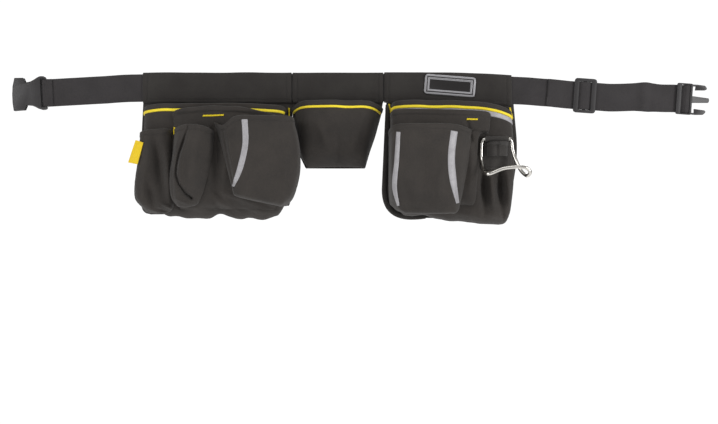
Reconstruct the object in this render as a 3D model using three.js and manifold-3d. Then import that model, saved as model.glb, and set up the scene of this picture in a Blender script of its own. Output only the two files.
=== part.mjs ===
// Tool belt with three cloth pouch panels threaded on one webbing strap.
// Millimetres, +Z up, +X to the wearer's left-to-right as seen from the front, pouches towards -Y.
// The origin is on the back of the middle panel, at the height of the strap's centre line.
import * as THREE from 'three';
import { mergeVertices } from 'three/addons/utils/BufferGeometryUtils.js';
import Module from 'manifold-3d';

const wasm = await Module();
wasm.setup();

// Cloth, webbing and clearances
const gap = 0.3;
const clothThickness = 1.6;
const panelThickness = 3;
const webbingWidth = 40;
const webbingThickness = 1.6;
const webbingPlay = 0.5;

// Panels: width of each sleeve, space between neighbours, drop of the cloth under the strap
const middlePanelWidth = 130.4;
const leftPanelWidth = 214.6;
const rightPanelWidth = 183.6;
const panelSpacing = 2.6;
const middlePanelDrop = 117;
const leftPanelDrop = 184;
const rightPanelDrop = 190;

// Strap: free lengths beside the panels, places of the slider and the tail
const leftStrapRun = 143.4;
const rightStrapRun = 252.6;
const sliderRun = 106.4;
const tailRun = 55.4;
const stitchedTail = 12;

// Main pouches: the width and height of the mouth-to-seam cloth, and how far the front stands out
const leftMainWidth = 203.5;
const leftMainHeight = 150;
const leftMainDepth = 53;
const rightMainWidth = 170;
const rightMainHeight = 160;
const rightMainDepth = 53;
const tapeWidth = 128;
const tapeHeight = 86;
const tapeDepth = 45;

// How far below the strap's centre line the mouth of each pouch and pocket lies
const leftMainTop = 33;
const levelPocketTop = 67.5;
const knifePocketTop = 65;
const leftFrontTop = 52;
const tapeTop = 30.5;
const rightMainTop = 27;
const rightFrontTop = 64;
const leftMiddleDrop = 9.5;
const rightMiddleDrop = 16.5;

// How far the seams of pouches and pockets stand in from the edge beside them, or out past it
const leftMainInset = 4;
const levelPocketInset = 1.3;
const knifePocketInset = 54.5;
const rightMainInset = 10.5;
const tapeInset = 1.2;
const pocketOverhang = 2.6;

// Pockets sewn on the main pouches
const leftMiddleWidth = 153;
const leftMiddleHeight = 134;
const leftMiddleDepth = 12;
const levelPocketWidth = 51;
const levelPocketHeight = 112;
const levelPocketDepth = 62;
const knifePocketWidth = 56;
const knifePocketHeight = 108;
const knifePocketDepth = 92;
const leftFrontWidth = 106;
const leftFrontHeight = 116;
const leftFrontDepth = 96;
const rightMiddleWidth = 139.5;
const rightMiddleHeight = 122;
const rightMiddleDepth = 12;
const rightFrontWidth = 116;
const rightFrontHeight = 122;
const rightFrontDepth = 98;

// Trim
const pipingTall = 4;
const pipingThickness = 1.2;
const hemTall = 6;
const reflectiveTall = 8;
const stripeThickness = 0.8;
const leftStripeWidth = 8;
const rightStripeWidth = 9.5;
const narrowStripeWidth = 6.5;
const bindingWidth = 5;
const bindingThickness = 1;
const labelWidth = 13.6;
const labelTall = 31;
const badgeWidth = 73.7;
const badgeTall = 29;
const badgeThickness = 1.8;

// Hammer loop and tool band
const tabInset = 124;
const tabDrop = 51;
const tabWidth = 44.5;
const tabTall = 42;
const bandWidth = 30;
const bandTall = 18;
const bandDepth = 15;
const wireDiameter = 5;
const loopReach = 28;
const loopDrop = 48;

// Buckle and slider
const buckleBarDiameter = 3.2;
const femaleLength = 50;
const femaleWidth = 48.4;
const femaleThickness = 11.4;
const maleWidth = 45.2;
const maleBaseLength = 22.6;
const prongReach = 31;
const sliderLength = 32.5;
const sliderWidth = 50;
const sliderBar = 7.2;
const sliderLift = 1.8;

// Lines that several pieces share
const strapOut = panelThickness + gap + webbingThickness / 2;
const layerStep = webbingThickness + gap;
const channelHalf = webbingWidth / 2 + webbingPlay;
const sleeveHalf = channelHalf + clothThickness;
const channelFront = panelThickness + 2 * gap + webbingThickness;
const sleeveFront = channelFront + clothThickness;
const turnRadius = (buckleBarDiameter + webbingThickness) / 2 + gap;
const turnOut = strapOut + turnRadius;
const frontLayerOut = strapOut + layerStep;
const hardwareBack = frontLayerOut + webbingThickness / 2 + gap;
const middleLeft = -middlePanelWidth / 2;
const middleRight = middlePanelWidth / 2;
const leftPanelRight = middleLeft - panelSpacing;
const leftPanelLeft = leftPanelRight - leftPanelWidth;
const rightPanelLeft = middleRight + panelSpacing;
const rightPanelRight = rightPanelLeft + rightPanelWidth;
const femaleX = leftPanelLeft - leftStrapRun;
const maleX = rightPanelRight + rightStrapRun;
const sliderX = rightPanelRight + sliderRun;

const colours = {
  cloth: { color: 0x3d3a37, roughness: 0.92, metalness: 0 },
  sleeve: { color: 0x32312e, roughness: 0.92, metalness: 0 },
  strap: { color: 0x434040, roughness: 0.85, metalness: 0 },
  binding: { color: 0x2a2928, roughness: 0.9, metalness: 0 },
  piping: { color: 0xe8cc1c, roughness: 0.6, metalness: 0 },
  reflective: { color: 0xb2b0b2, roughness: 0.45, metalness: 0 },
  plastic: { color: 0x454344, roughness: 0.5, metalness: 0 },
  badge: { color: 0xa8a6a6, roughness: 0.35, metalness: 0 },
  steel: { color: 0xc8c4bc, roughness: 0.25, metalness: 1 },
};

const belt = new THREE.Group();

function addPiece(name, geometry, finish) {
  const mesh = new THREE.Mesh(geometry, new THREE.MeshStandardMaterial(colours[finish]));
  mesh.name = name;
  belt.add(mesh);
  return mesh;
}

// Small helpers for numbers, curves and closed meshes

const mix = (a, b, share) => a + (b - a) * share;
const clamp = (value, low, high) => Math.min(high, Math.max(low, value));
const smooth = (share) => share * share * (3 - 2 * share);

function curveThrough(values, t) {
  const last = values.length - 1;
  const index = clamp(Math.floor(t), 0, last - 1);
  const local = t - index;
  const before = values[Math.max(index - 1, 0)];
  const start = values[index];
  const end = values[index + 1];
  const after = values[Math.min(index + 2, last)];
  const pull = (end - before) / 2;
  const push = (after - start) / 2;
  const square = local * local;
  const cube = square * local;
  return (2 * cube - 3 * square + 1) * start + (cube - 2 * square + local) * pull
    + (3 * square - 2 * cube) * end + (cube - square) * push;
}

function solveFalling(low, high, wanted, measure) {
  let near = low;
  let far = high;
  for (let round = 0; round < 30; round += 1) {
    const middle = (near + far) / 2;
    if (measure(middle) > wanted) near = middle;
    else far = middle;
  }
  return (near + far) / 2;
}

function closedMesh(points, triangles) {
  let volume = 0;
  for (const [a, b, c] of triangles) {
    volume += points[a].dot(points[b].clone().cross(points[c]));
  }
  const geometry = new THREE.BufferGeometry();
  geometry.setAttribute('position', new THREE.Float32BufferAttribute(points.flatMap((p) => [p.x, p.y, p.z]), 3));
  geometry.setIndex(triangles.flatMap(([a, b, c]) => (volume > 0 ? [a, b, c] : [a, c, b])));
  return geometry;
}

// A slab between two grids of the same size, closed along its four borders
function slabMesh(rows, columns, outer, inner) {
  const points = [];
  for (const sheet of [outer, inner]) {
    for (let row = 0; row < rows; row += 1) {
      for (let column = 0; column < columns; column += 1) points.push(sheet(row, column));
    }
  }
  const at = (sheet, row, column) => sheet * rows * columns + row * columns + column;
  const triangles = [];
  const quad = (a, b, c, d) => triangles.push([a, b, c], [a, c, d]);
  for (let row = 0; row < rows - 1; row += 1) {
    for (let column = 0; column < columns - 1; column += 1) {
      quad(at(0, row, column), at(0, row, column + 1), at(0, row + 1, column + 1), at(0, row + 1, column));
      quad(at(1, row, column), at(1, row + 1, column), at(1, row + 1, column + 1), at(1, row, column + 1));
    }
  }
  for (let column = 0; column < columns - 1; column += 1) {
    quad(at(0, 0, column), at(1, 0, column), at(1, 0, column + 1), at(0, 0, column + 1));
    const end = rows - 1;
    quad(at(0, end, column), at(0, end, column + 1), at(1, end, column + 1), at(1, end, column));
  }
  for (let row = 0; row < rows - 1; row += 1) {
    quad(at(0, row, 0), at(0, row + 1, 0), at(1, row + 1, 0), at(1, row, 0));
    const end = columns - 1;
    quad(at(0, row, end), at(1, row, end), at(1, row + 1, end), at(0, row + 1, end));
  }
  return closedMesh(points, triangles);
}

// A loft through rings of equal count, capped by the flat outline or joined end to end
function loftMesh(rings, outline) {
  const count = rings[0].length;
  const points = rings.flat();
  const triangles = [];
  const spans = outline ? rings.length - 1 : rings.length;
  for (let ring = 0; ring < spans; ring += 1) {
    const here = ring * count;
    const next = ((ring + 1) % rings.length) * count;
    for (let side = 0; side < count; side += 1) {
      const other = (side + 1) % count;
      triangles.push([here + side, next + side, next + other], [here + side, next + other, here + other]);
    }
  }
  if (outline) {
    const end = (rings.length - 1) * count;
    const turn = THREE.ShapeUtils.isClockWise(outline) ? -1 : 1;
    for (const [a, b, c] of THREE.ShapeUtils.triangulateShape(outline, [])) {
      const [first, second] = turn > 0 ? [b, c] : [c, b];
      triangles.push([a, first, second], [end + a, end + second, end + first]);
    }
  }
  return closedMesh(points, triangles);
}

function toSolid(geometry) {
  const plain = geometry.clone();
  plain.deleteAttribute('normal');
  plain.deleteAttribute('uv');
  const merged = mergeVertices(plain, 1e-4);
  return new wasm.Manifold(new wasm.Mesh({
    numProp: 3,
    vertProperties: new Float32Array(merged.attributes.position.array),
    triVerts: new Uint32Array(merged.index.array),
  }));
}

function toGeometry(solid) {
  const mesh = solid.getMesh();
  const geometry = new THREE.BufferGeometry();
  geometry.setAttribute('position', new THREE.BufferAttribute(new Float32Array(mesh.vertProperties), 3));
  geometry.setIndex(new THREE.BufferAttribute(new Uint32Array(mesh.triVerts), 1));
  return geometry;
}

function block(fromX, toX, fromY, toY, fromZ, toZ) {
  const geometry = new THREE.BoxGeometry(toX - fromX, toY - fromY, toZ - fromZ);
  geometry.translate((fromX + toX) / 2, (fromY + toY) / 2, (fromZ + toZ) / 2);
  return toSolid(geometry);
}

// A shape drawn in X and Z, given thickness from one distance in front of the back to another
function plate(shape, fromOut, toOut, bevel = 0) {
  const geometry = new THREE.ExtrudeGeometry(shape, {
    depth: toOut - fromOut - 2 * bevel,
    bevelEnabled: bevel > 0,
    bevelThickness: bevel,
    bevelSize: bevel,
    bevelOffset: -bevel,
    bevelSegments: 1,
    curveSegments: 4,
  });
  geometry.translate(0, 0, fromOut + bevel);
  geometry.rotateX(Math.PI / 2);
  return geometry;
}

// Corners joined by straight lines, each rounded by its own length
function roundedOutline(corners) {
  const outline = new THREE.Shape();
  corners.forEach((corner, index) => {
    const before = corners[(index + corners.length - 1) % corners.length];
    const after = corners[(index + 1) % corners.length];
    const here = new THREE.Vector2(corner.x, corner.z);
    const back = new THREE.Vector2(before.x, before.z).sub(here).normalize().multiplyScalar(corner.round).add(here);
    const on = new THREE.Vector2(after.x, after.z).sub(here).normalize().multiplyScalar(corner.round).add(here);
    if (index === 0) outline.moveTo(back.x, back.y);
    else outline.lineTo(back.x, back.y);
    outline.quadraticCurveTo(here.x, here.y, on.x, on.y);
  });
  outline.closePath();
  return outline;
}

// The strap's line, seen from the front: it sinks a little towards both ends.
// Knots give the place, the height and the slope in degrees; hardware sits on straight stretches.

const degrees = Math.PI / 180;
const femaleSeat = { x: femaleX, z: -0.2 * webbingWidth, lean: 3.2, reach: 25 };
const sliderSeat = { x: sliderX, z: -0.3 * webbingWidth, lean: -4, reach: 20 };
const maleSeat = { x: maleX, z: -0.42 * webbingWidth, lean: -4, reach: 14 };

const leftRunKnots = [
  { along: 0.44, sink: 0.09, lean: 2.8 },
  { along: 0.13, sink: 0.02, lean: 1.2 },
];
const rightRunKnots = [
  { along: 0.05, sink: 0.11, lean: -2.2 },
  { along: 0.2, sink: 0.18, lean: -3.5 },
  { along: 0.57, sink: 0.365, lean: -0.5 },
  { along: 0.74, sink: 0.34, lean: 0 },
  { along: 0.86, sink: 0.385, lean: -3 },
];

function seatKnots(seat) {
  const slope = Math.tan(seat.lean * degrees);
  return [-seat.reach, seat.reach].map((step) => ({ x: seat.x + step, z: seat.z + step * slope, lean: seat.lean }));
}

const strapKnots = [
  ...seatKnots(femaleSeat),
  ...leftRunKnots.map(({ along, sink, lean }) => (
    { x: leftPanelLeft - along * leftStrapRun, z: -sink * webbingWidth, lean })),
  { x: leftPanelLeft + 0.3 * leftPanelWidth, z: 0, lean: 0 },
  { x: rightPanelLeft + 0.55 * rightPanelWidth, z: 0, lean: 0 },
  ...rightRunKnots.map(({ along, sink, lean }) => (
    { x: rightPanelRight + along * rightStrapRun, z: -sink * webbingWidth, lean })),
  ...seatKnots(sliderSeat),
  ...seatKnots(maleSeat),
].sort((one, other) => one.x - other.x);

function strapLine(x) {
  const last = strapKnots.length - 1;
  const found = strapKnots.findIndex((knot) => knot.x >= x);
  const index = clamp(found < 0 ? last : found, 1, last);
  const start = strapKnots[index - 1];
  const end = strapKnots[index];
  const span = end.x - start.x;
  const t = (x - start.x) / span;
  const rise = Math.tan(start.lean * degrees) * span;
  const leave = Math.tan(end.lean * degrees) * span;
  if (t < 0) return { z: start.z + t * rise, slope: rise / span };
  if (t > 1) return { z: end.z + (t - 1) * leave, slope: leave / span };
  const z = (2 * t ** 3 - 3 * t ** 2 + 1) * start.z + (t ** 3 - 2 * t ** 2 + t) * rise
    + (3 * t ** 2 - 2 * t ** 3) * end.z + (t ** 3 - t ** 2) * leave;
  const slope = ((6 * t ** 2 - 6 * t) * start.z + (3 * t ** 2 - 4 * t + 1) * rise
    + (6 * t - 6 * t ** 2) * end.z + (3 * t ** 2 - 2 * t) * leave) / span;
  return { z, slope };
}

// The webbing: one ribbon from its stitched end at the female buckle, through the sleeves and the
// slider, round the male buckle's bar and back on top of itself to the tail

function sliderBump(x) {
  const reach = sliderLength / 2 - sliderBar;
  const rise = 1.6 * (1 - Math.abs(x - sliderX) / reach);
  return sliderLift * smooth(clamp(rise, 0, 1));
}

function turnAround(seat, side, leave) {
  const stations = [];
  const steps = 8;
  const first = side < 0 ? -leave : 0;
  const last = side < 0 ? Math.PI : Math.PI + leave;
  for (let step = 0; step <= steps; step += 1) {
    const angle = mix(first, last, step / steps);
    const along = side * turnRadius * Math.sin(angle);
    const out = turnOut + side * -turnRadius * Math.cos(angle);
    stations.push({ x: seat.x + along * Math.cos(seat.lean * degrees), out });
  }
  return stations;
}

function webbingRoute() {
  const route = [];
  const tailX = femaleX + stitchedTail;
  const meetLeft = femaleX + 0.75 * stitchedTail;
  const meetRight = maleX - 2.25 * turnRadius;
  route.push({ x: tailX, out: frontLayerOut });
  route.push({ x: meetLeft, out: frontLayerOut });
  route.push(...turnAround(femaleSeat, -1, 20 * degrees));
  const runSteps = 32;
  const overSlider = [-1, -0.8, -0.6, -0.4, 0, 0.4, 0.6, 0.8, 1].map((share) => (
    sliderX + share * (sliderLength / 2 - sliderBar)));
  const clearOfSlider = (x) => Math.abs(x - sliderX) > sliderLength / 2 - sliderBar + 1;
  const run = [];
  for (let step = 1; step < runSteps; step += 1) run.push(mix(femaleX, maleX, step / runSteps));
  const backRun = [...run.filter(clearOfSlider), ...overSlider].sort((one, other) => one - other);
  route.push(...backRun.map((x) => ({ x, out: strapOut + sliderBump(x) })));
  route.push(...turnAround(maleSeat, 1, 35 * degrees));
  route.push({ x: meetRight, out: frontLayerOut });
  const tailEnd = sliderX - tailRun;
  const frontRun = backRun.filter((x) => x > tailEnd + 4 && x < meetRight - 4).reverse();
  route.push(...frontRun.map((x) => ({ x, out: frontLayerOut + sliderBump(x) })));
  route.push({ x: tailEnd, out: frontLayerOut });
  return route;
}

function webbingRibbon() {
  const route = webbingRoute();
  const rings = route.map((station, index) => {
    const before = route[Math.max(index - 1, 0)];
    const after = route[Math.min(index + 1, route.length - 1)];
    const { z, slope } = strapLine(station.x);
    const lean = Math.atan(slope);
    const forward = new THREE.Vector2((after.x - before.x) / Math.cos(lean), after.out - before.out).normalize();
    const across = new THREE.Vector3(-Math.sin(lean), 0, Math.cos(lean));
    const normal = new THREE.Vector3(-forward.y * Math.cos(lean), -forward.x, -forward.y * Math.sin(lean));
    const centre = new THREE.Vector3(station.x, -station.out, z);
    const corner = (face, edge) => centre.clone()
      .addScaledVector(normal, face * webbingThickness / 2)
      .addScaledVector(across, edge * webbingWidth / 2);
    return [corner(-1, -1), corner(1, -1), corner(1, 1), corner(-1, 1)];
  });
  const outline = [[0, 0], [1, 0], [1, 1], [0, 1]].map(([x, y]) => new THREE.Vector2(x, y));
  return loftMesh(rings, outline);
}

addPiece('belt_webbing', webbingRibbon(), 'strap');

// Panels: the backing cloth with the sleeve that the strap runs through, in one piece

function sleeveLoft(left, right, outline) {
  const steps = 6;
  const rings = [];
  for (let step = 0; step <= steps; step += 1) {
    const x = mix(left, right, step / steps);
    const { z } = strapLine(x);
    rings.push(outline.map(([out, height]) => new THREE.Vector3(x, -out, z + height)));
  }
  return toSolid(loftMesh(rings, outline.map(([out, height]) => new THREE.Vector2(out, height))));
}

function panelWithSleeve(left, right, outline) {
  const soft = 1.4;
  const sleeve = sleeveLoft(left, right, [
    [0, -sleeveHalf], [panelThickness, -sleeveHalf - soft], [sleeveFront - soft, -sleeveHalf],
    [sleeveFront, -channelHalf + soft], [sleeveFront, channelHalf - soft],
    [sleeveFront - soft, sleeveHalf], [soft, sleeveHalf], [0, channelHalf],
  ]);
  const channel = sleeveLoft(left - 1, right + 1, [
    [panelThickness, -channelHalf], [channelFront, -channelHalf],
    [channelFront, channelHalf], [panelThickness, channelHalf],
  ]);
  const backing = toSolid(plate(roundedOutline(outline), 0, panelThickness));
  return toGeometry(sleeve.add(backing).subtract(channel));
}

// The backing reaches up behind the seam of the sleeve
const backingTop = -channelHalf + 2;

const leftOutline = [
  { x: leftPanelLeft, z: backingTop, round: 0.5 },
  { x: leftPanelLeft - 6.5, z: -0.8 * leftPanelDrop, round: 18 },
  { x: leftPanelLeft - 1, z: -leftPanelDrop, round: 13 },
  { x: leftPanelRight - 4, z: -leftPanelDrop, round: 18 },
  { x: leftPanelRight + 5, z: -0.75 * leftPanelDrop, round: 20 },
  { x: leftPanelRight, z: backingTop, round: 0.5 },
];
addPiece('left_panel', panelWithSleeve(leftPanelLeft, leftPanelRight, leftOutline), 'sleeve');

const tapeFoot = { left: middleLeft + 18.8, right: middleRight - 25.9 };
const middleOutline = [
  { x: middleLeft, z: backingTop, round: 0.5 },
  { x: middleLeft + 6, z: -0.5 * middlePanelDrop, round: 10 },
  { x: tapeFoot.left, z: -middlePanelDrop, round: 1 },
  { x: tapeFoot.right, z: -middlePanelDrop, round: 1 },
  { x: middleRight - 15, z: -0.65 * middlePanelDrop, round: 10 },
  { x: middleRight, z: backingTop, round: 0.5 },
];
addPiece('middle_panel', panelWithSleeve(middleLeft, middleRight, middleOutline), 'sleeve');

const rightEdgeFlare = 10;
const boundCorner = 42;
const boundOverhang = 2.5;
const rightOutline = [
  { x: rightPanelLeft - boundOverhang, z: backingTop, round: 0.5 },
  { x: rightPanelLeft - boundOverhang, z: -rightPanelDrop, round: boundCorner },
  { x: rightPanelLeft + 0.24 * rightPanelWidth, z: -rightPanelDrop, round: 3 },
  { x: rightPanelLeft + 0.34 * rightPanelWidth, z: -rightPanelDrop + 6, round: 6 },
  { x: rightPanelRight - 6, z: -rightPanelDrop - 5, round: 18 },
  { x: rightPanelRight + rightEdgeFlare, z: -0.5 * rightPanelDrop, round: 30 },
  { x: rightPanelRight + 3, z: backingTop, round: 0.5 },
];
addPiece('right_panel', panelWithSleeve(rightPanelLeft, rightPanelRight, rightOutline), 'sleeve');

// The bound edge of the right panel: a folded tape down its left side and round the lower corner

function bindingTape() {
  const edge = rightPanelLeft - boundOverhang;
  const foot = -rightPanelDrop;
  const path = new THREE.Path();
  path.moveTo(edge, foot + boundCorner);
  path.quadraticCurveTo(edge, foot, edge + boundCorner, foot);
  const route = [new THREE.Vector2(edge, -sleeveHalf - 2.5), ...path.getPoints(9).slice(0, -1)];
  const profile = [
    [-bindingWidth, panelThickness + gap],
    [-bindingWidth, panelThickness + gap + bindingThickness],
    [gap + bindingThickness, panelThickness + gap + bindingThickness],
    [gap + bindingThickness, -gap - bindingThickness],
    [-bindingWidth, -gap - bindingThickness],
    [-bindingWidth, -gap],
    [gap, -gap],
    [gap, panelThickness + gap],
  ].map(([side, out]) => new THREE.Vector2(side, out));
  const rings = route.map((point, index) => {
    const before = route[Math.max(index - 1, 0)];
    const after = route[Math.min(index + 1, route.length - 1)];
    const along = after.clone().sub(before).normalize();
    const outward = new THREE.Vector2(along.y, -along.x);
    return profile.map(({ x: side, y: out }) => (
      new THREE.Vector3(point.x + outward.x * side, -out, point.y + outward.y * side)));
  });
  return loftMesh(rings, profile);
}

addPiece('right_binding', bindingTape(), 'binding');

// Pouches and pockets.
// Each is a scoop of cloth sewn to what is behind it along its sides and foot. A row gives, at one
// height: down the share of the height, left and right the seams as shares of the width, deep the
// share of the depth, slantLeft and slantRight how far the front corners stand inside the seams as
// shares of the width. Lower is how much further down the right side hangs, and belly the front
// below its seams, as shares of the height.
// Folds are soft bumps: across and down say where, wide and tall how large, push how far out.

const seatReach = 2;
const aroundSeat = [[0, 0], [-seatReach, 0], [seatReach, 0], [0, -seatReach], [0, seatReach]];

function makePouch(pouch) {
  const { left, rim, width, height, depth, hugging = false, square = 3, crown = 0, behind } = pouch;
  const play = pouch.play ?? gap;
  const { rows, folds = [], sags = [], wall = clothThickness } = pouch;
  const columns = {};
  for (const key of ['down', 'left', 'right', 'deep', 'slantLeft', 'slantRight', 'lower', 'belly']) {
    columns[key] = rows.map((row) => row[key] ?? 0);
  }
  const read = (key, t) => curveThrough(columns[key], t);
  const reachDown = rows.map((row) => row.down + (row.belly ?? 0));
  const lowest = reachDown.indexOf(Math.max(...reachDown));

  const section = (angle) => {
    const c = Math.cos(angle);
    const s = Math.sin(angle);
    const radius = (Math.abs(c) ** square + Math.abs(s) ** square) ** (-1 / square);
    return { across: c * radius, forward: Math.max(s * radius, 0) };
  };
  const placeX = (t, { across, forward }, inset) => {
    const leftEdge = left + read('left', t) * width + inset;
    const rightEdge = left + read('right', t) * width - inset;
    const lean = read('slantLeft', t) * (1 - across) / 2 - read('slantRight', t) * (1 + across) / 2;
    return mix(leftEdge, rightEdge, (1 + across) / 2) + forward * lean * width;
  };
  const placeZ = (t, { across, forward }) => {
    const down = read('down', t);
    const hang = read('lower', t) * (1 + across) / 2 + read('belly', t) * forward;
    const reach = Math.max(1 - down, 0) ** 2;
    return rim - (down + hang) * height + crown * forward * reach;
  };
  const foldAt = (x, z) => folds.reduce((sum, fold) => {
    const side = (x - left - fold.across * width) / (fold.wide * width);
    const drop = (rim - z - fold.down * height) / (fold.tall * height);
    return sum + fold.push * Math.exp(-side * side - drop * drop);
  }, 0);
  const sagAt = (x) => sags.reduce((sum, sag) => {
    const side = (x - left - sag.across * width) / (sag.wide * width);
    return sum + sag.drop * Math.exp(-side * side);
  }, 0);
  // The seat is the furthest out of what lies behind a place and close around it
  const seatAt = (x, z) => Math.max(...aroundSeat.map(([side, rise]) => behind(x + side, z + rise)));
  const standOut = (x, z, t, forward, inset) => {
    const seat = seatAt(x, z);
    const reach = hugging ? depth : depth - seat;
    const cloth = read('deep', t) * reach * (1 + foldAt(x, z)) - inset;
    return seat + play + forward * Math.max(cloth, 0);
  };

  const angleOf = (share) => {
    const side = 2 * share - 1;
    return Math.PI / 2 - (Math.PI / 2) * Math.sign(side) * Math.abs(side) ** 1.5;
  };
  const point = (share, t, inset = 0) => {
    const bend = section(angleOf(share));
    const x = placeX(t, bend, inset);
    const footShare = smooth(clamp((t - lowest + 1.6) / 1.6, 0, 1));
    const plainZ = placeZ(t, bend);
    const z = plainZ - height * sagAt(x) * read('down', t) ** 4 + inset * footShare;
    return new THREE.Vector3(x, -standOut(x, z, t, bend.forward, inset), z);
  };

  // How far in front of the back the cloth's outer face is at one place
  const front = (x, z) => {
    let bend = { across: 0, forward: 1 };
    let t = 0;
    for (let round = 0; round < 4; round += 1) {
      const held = bend;
      const sink = (at) => placeZ(at, held) - height * sagAt(x) * read('down', at) ** 4;
      t = solveFalling(0, lowest, z, sink);
      const angle = solveFalling(0, Math.PI, x, (at) => placeX(t, section(at), 0));
      bend = section(angle);
    }
    const fromLeft = x - left - read('left', t) * width;
    const fromRight = left + read('right', t) * width - x;
    if (fromLeft < 0 && read('slantLeft', t) >= 0) return behind(x, z);
    if (fromRight < 0 && read('slantRight', t) >= 0) return behind(x, z);
    return standOut(x, z, t, bend.forward, 0);
  };
  const rowAt = (down) => solveFalling(0, lowest, -down, (t) => -read('down', t));

  const { across = 20, steps = 2 } = pouch;
  const rowCount = (rows.length - 1) * steps + 1;
  const shell = () => slabMesh(
    rowCount,
    across + 1,
    (row, column) => point(column / across, row / steps),
    (row, column) => point(column / across, row / steps, wall),
  );
  return { ...pouch, point, front, rowAt, shell, across };
}

const onPanel = () => panelThickness;

// A band that follows the cloth at a steady distance under the mouth
function rimBand(pouch, { from, to, under, tall, thick, lift = gap }) {
  const first = Math.round(from * pouch.across);
  const count = Math.round(to * pouch.across) - first;
  const face = (share, drop, proud) => {
    const t = pouch.rowAt(drop / pouch.height);
    const here = pouch.point(share, t);
    const side = pouch.point(Math.min(share + 0.01, 1), t).sub(pouch.point(Math.max(share - 0.01, 0), t));
    const down = pouch.point(share, t + 0.04).sub(here);
    const outward = down.cross(side).normalize();
    return here.addScaledVector(outward, proud);
  };
  return slabMesh(
    2,
    count + 1,
    (row, column) => face((first + column) / pouch.across, under + row * tall, lift + thick),
    (row, column) => face((first + column) / pouch.across, under + row * tall, lift),
  );
}

// A stripe down the front of a pouch: places are shares of the pouch's width and height
function stripe(pouch, width, places, thick = stripeThickness) {
  const steps = 3;
  const count = (places.length - 1) * steps;
  const lift = gap + 0.2;
  const read = (key, t) => curveThrough(places.map((place) => place[key]), t);
  const centre = (t) => new THREE.Vector2(
    pouch.left + read('across', t) * pouch.width,
    pouch.rim - read('down', t) * pouch.height,
  );
  const face = (row, column, proud) => {
    const t = row / steps;
    const along = centre(Math.min(t + 0.05, places.length - 1)).sub(centre(Math.max(t - 0.05, 0))).normalize();
    const side = (column - 1) * width / 2 * read('wide', t);
    const x = centre(t).x - along.y * side;
    const z = centre(t).y + along.x * side;
    return new THREE.Vector3(x, -pouch.front(x, z) - proud, z);
  };
  return slabMesh(
    count + 1,
    3,
    (row, column) => face(row, column, lift + thick),
    (row, column) => face(row, column, lift),
  );
}

// Left cluster

const leftMain = makePouch({
  left: leftPanelLeft + leftMainInset,
  rim: -leftMainTop,
  width: leftMainWidth,
  height: leftMainHeight,
  depth: leftMainDepth,
  square: 3.4,
  crown: 5.5,
  behind: onPanel,
  across: 18,
  rows: [
    { down: 0, left: 0, right: 1, deep: 0.98 },
    { down: 0.25, left: -0.005, right: 1.005, deep: 0.97 },
    { down: 0.5, left: -0.012, right: 1.015, deep: 1 },
    { down: 0.76, left: -0.022, right: 1.015, deep: 1.02 },
    { down: 0.9, left: 0.01, right: 0.965, deep: 0.93, belly: 0.02 },
    { down: 0.965, left: 0.04, right: 0.915, deep: 0.5, belly: 0.07 },
    { down: 0.97, left: 0.055, right: 0.895, deep: 0 },
  ],
  folds: [
    { across: 0.62, down: 0.9, wide: 0.1, tall: 0.14, push: -0.14 },
    { across: 0.3, down: 0.86, wide: 0.06, tall: 0.2, push: -0.1 },
  ],
  sags: [
    { across: 0.08, wide: 0.09, drop: -0.06 },
    { across: 0.55, wide: 0.06, drop: -0.035 },
    { across: 0.97, wide: 0.07, drop: -0.04 },
  ],
});
addPiece('left_main_pouch', leftMain.shell(), 'cloth');
addPiece('left_main_piping', rimBand(leftMain, {
  from: 0.05, to: 0.94, under: hemTall, tall: pipingTall, thick: pipingThickness,
}), 'piping');

const leftMiddle = makePouch({
  left: leftMain.left + 0.23 * leftMainWidth,
  rim: leftMain.rim - leftMiddleDrop,
  width: leftMiddleWidth,
  height: leftMiddleHeight,
  depth: leftMiddleDepth,
  hugging: true,
  play: 0.5,
  square: 2.6,
  crown: 7.5,
  behind: leftMain.front,
  across: 16,
  rows: [
    { down: 0, left: 0, right: 0.99, deep: 1 },
    { down: 0.35, left: 0.01, right: 0.99, deep: 1 },
    { down: 0.7, left: 0.02, right: 0.985, deep: 0.95 },
    { down: 0.9, left: 0.04, right: 0.96, deep: 0.75 },
    { down: 1, left: 0.06, right: 0.93, deep: 0 },
  ],
});
addPiece('left_middle_pocket', leftMiddle.shell(), 'cloth');

const levelPocket = makePouch({
  left: leftPanelLeft + levelPocketInset,
  rim: -levelPocketTop,
  width: levelPocketWidth,
  height: levelPocketHeight,
  depth: levelPocketDepth,
  play: 0.5,
  square: 2.7,
  crown: 3,
  behind: leftMain.front,
  across: 12,
  rows: [
    { down: 0, left: 0, right: 0.92, deep: 0.95, slantLeft: -0.01, slantRight: 0.02, lower: -0.04 },
    { down: 0.3, left: -0.05, right: 0.93, deep: 0.96, slantLeft: -0.05 },
    { down: 0.62, left: -0.15, right: 0.98, deep: 1.02, slantLeft: -0.07 },
    { down: 0.84, left: -0.13, right: 1, deep: 1.02, slantLeft: -0.05 },
    { down: 0.93, left: 0, right: 0.97, deep: 0.85, belly: 0.03 },
    { down: 0.955, left: 0.07, right: 0.93, deep: 0.55, belly: 0.07 },
    { down: 0.96, left: 0.13, right: 0.88, deep: 0.02 },
  ],
  folds: [
    { across: 0.5, down: 0.45, wide: 0.16, tall: 0.5, push: -0.2 },
    { across: 0.86, down: 0.75, wide: 0.14, tall: 0.3, push: 0.18 },
  ],
});
addPiece('left_level_pocket', levelPocket.shell(), 'cloth');

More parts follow.
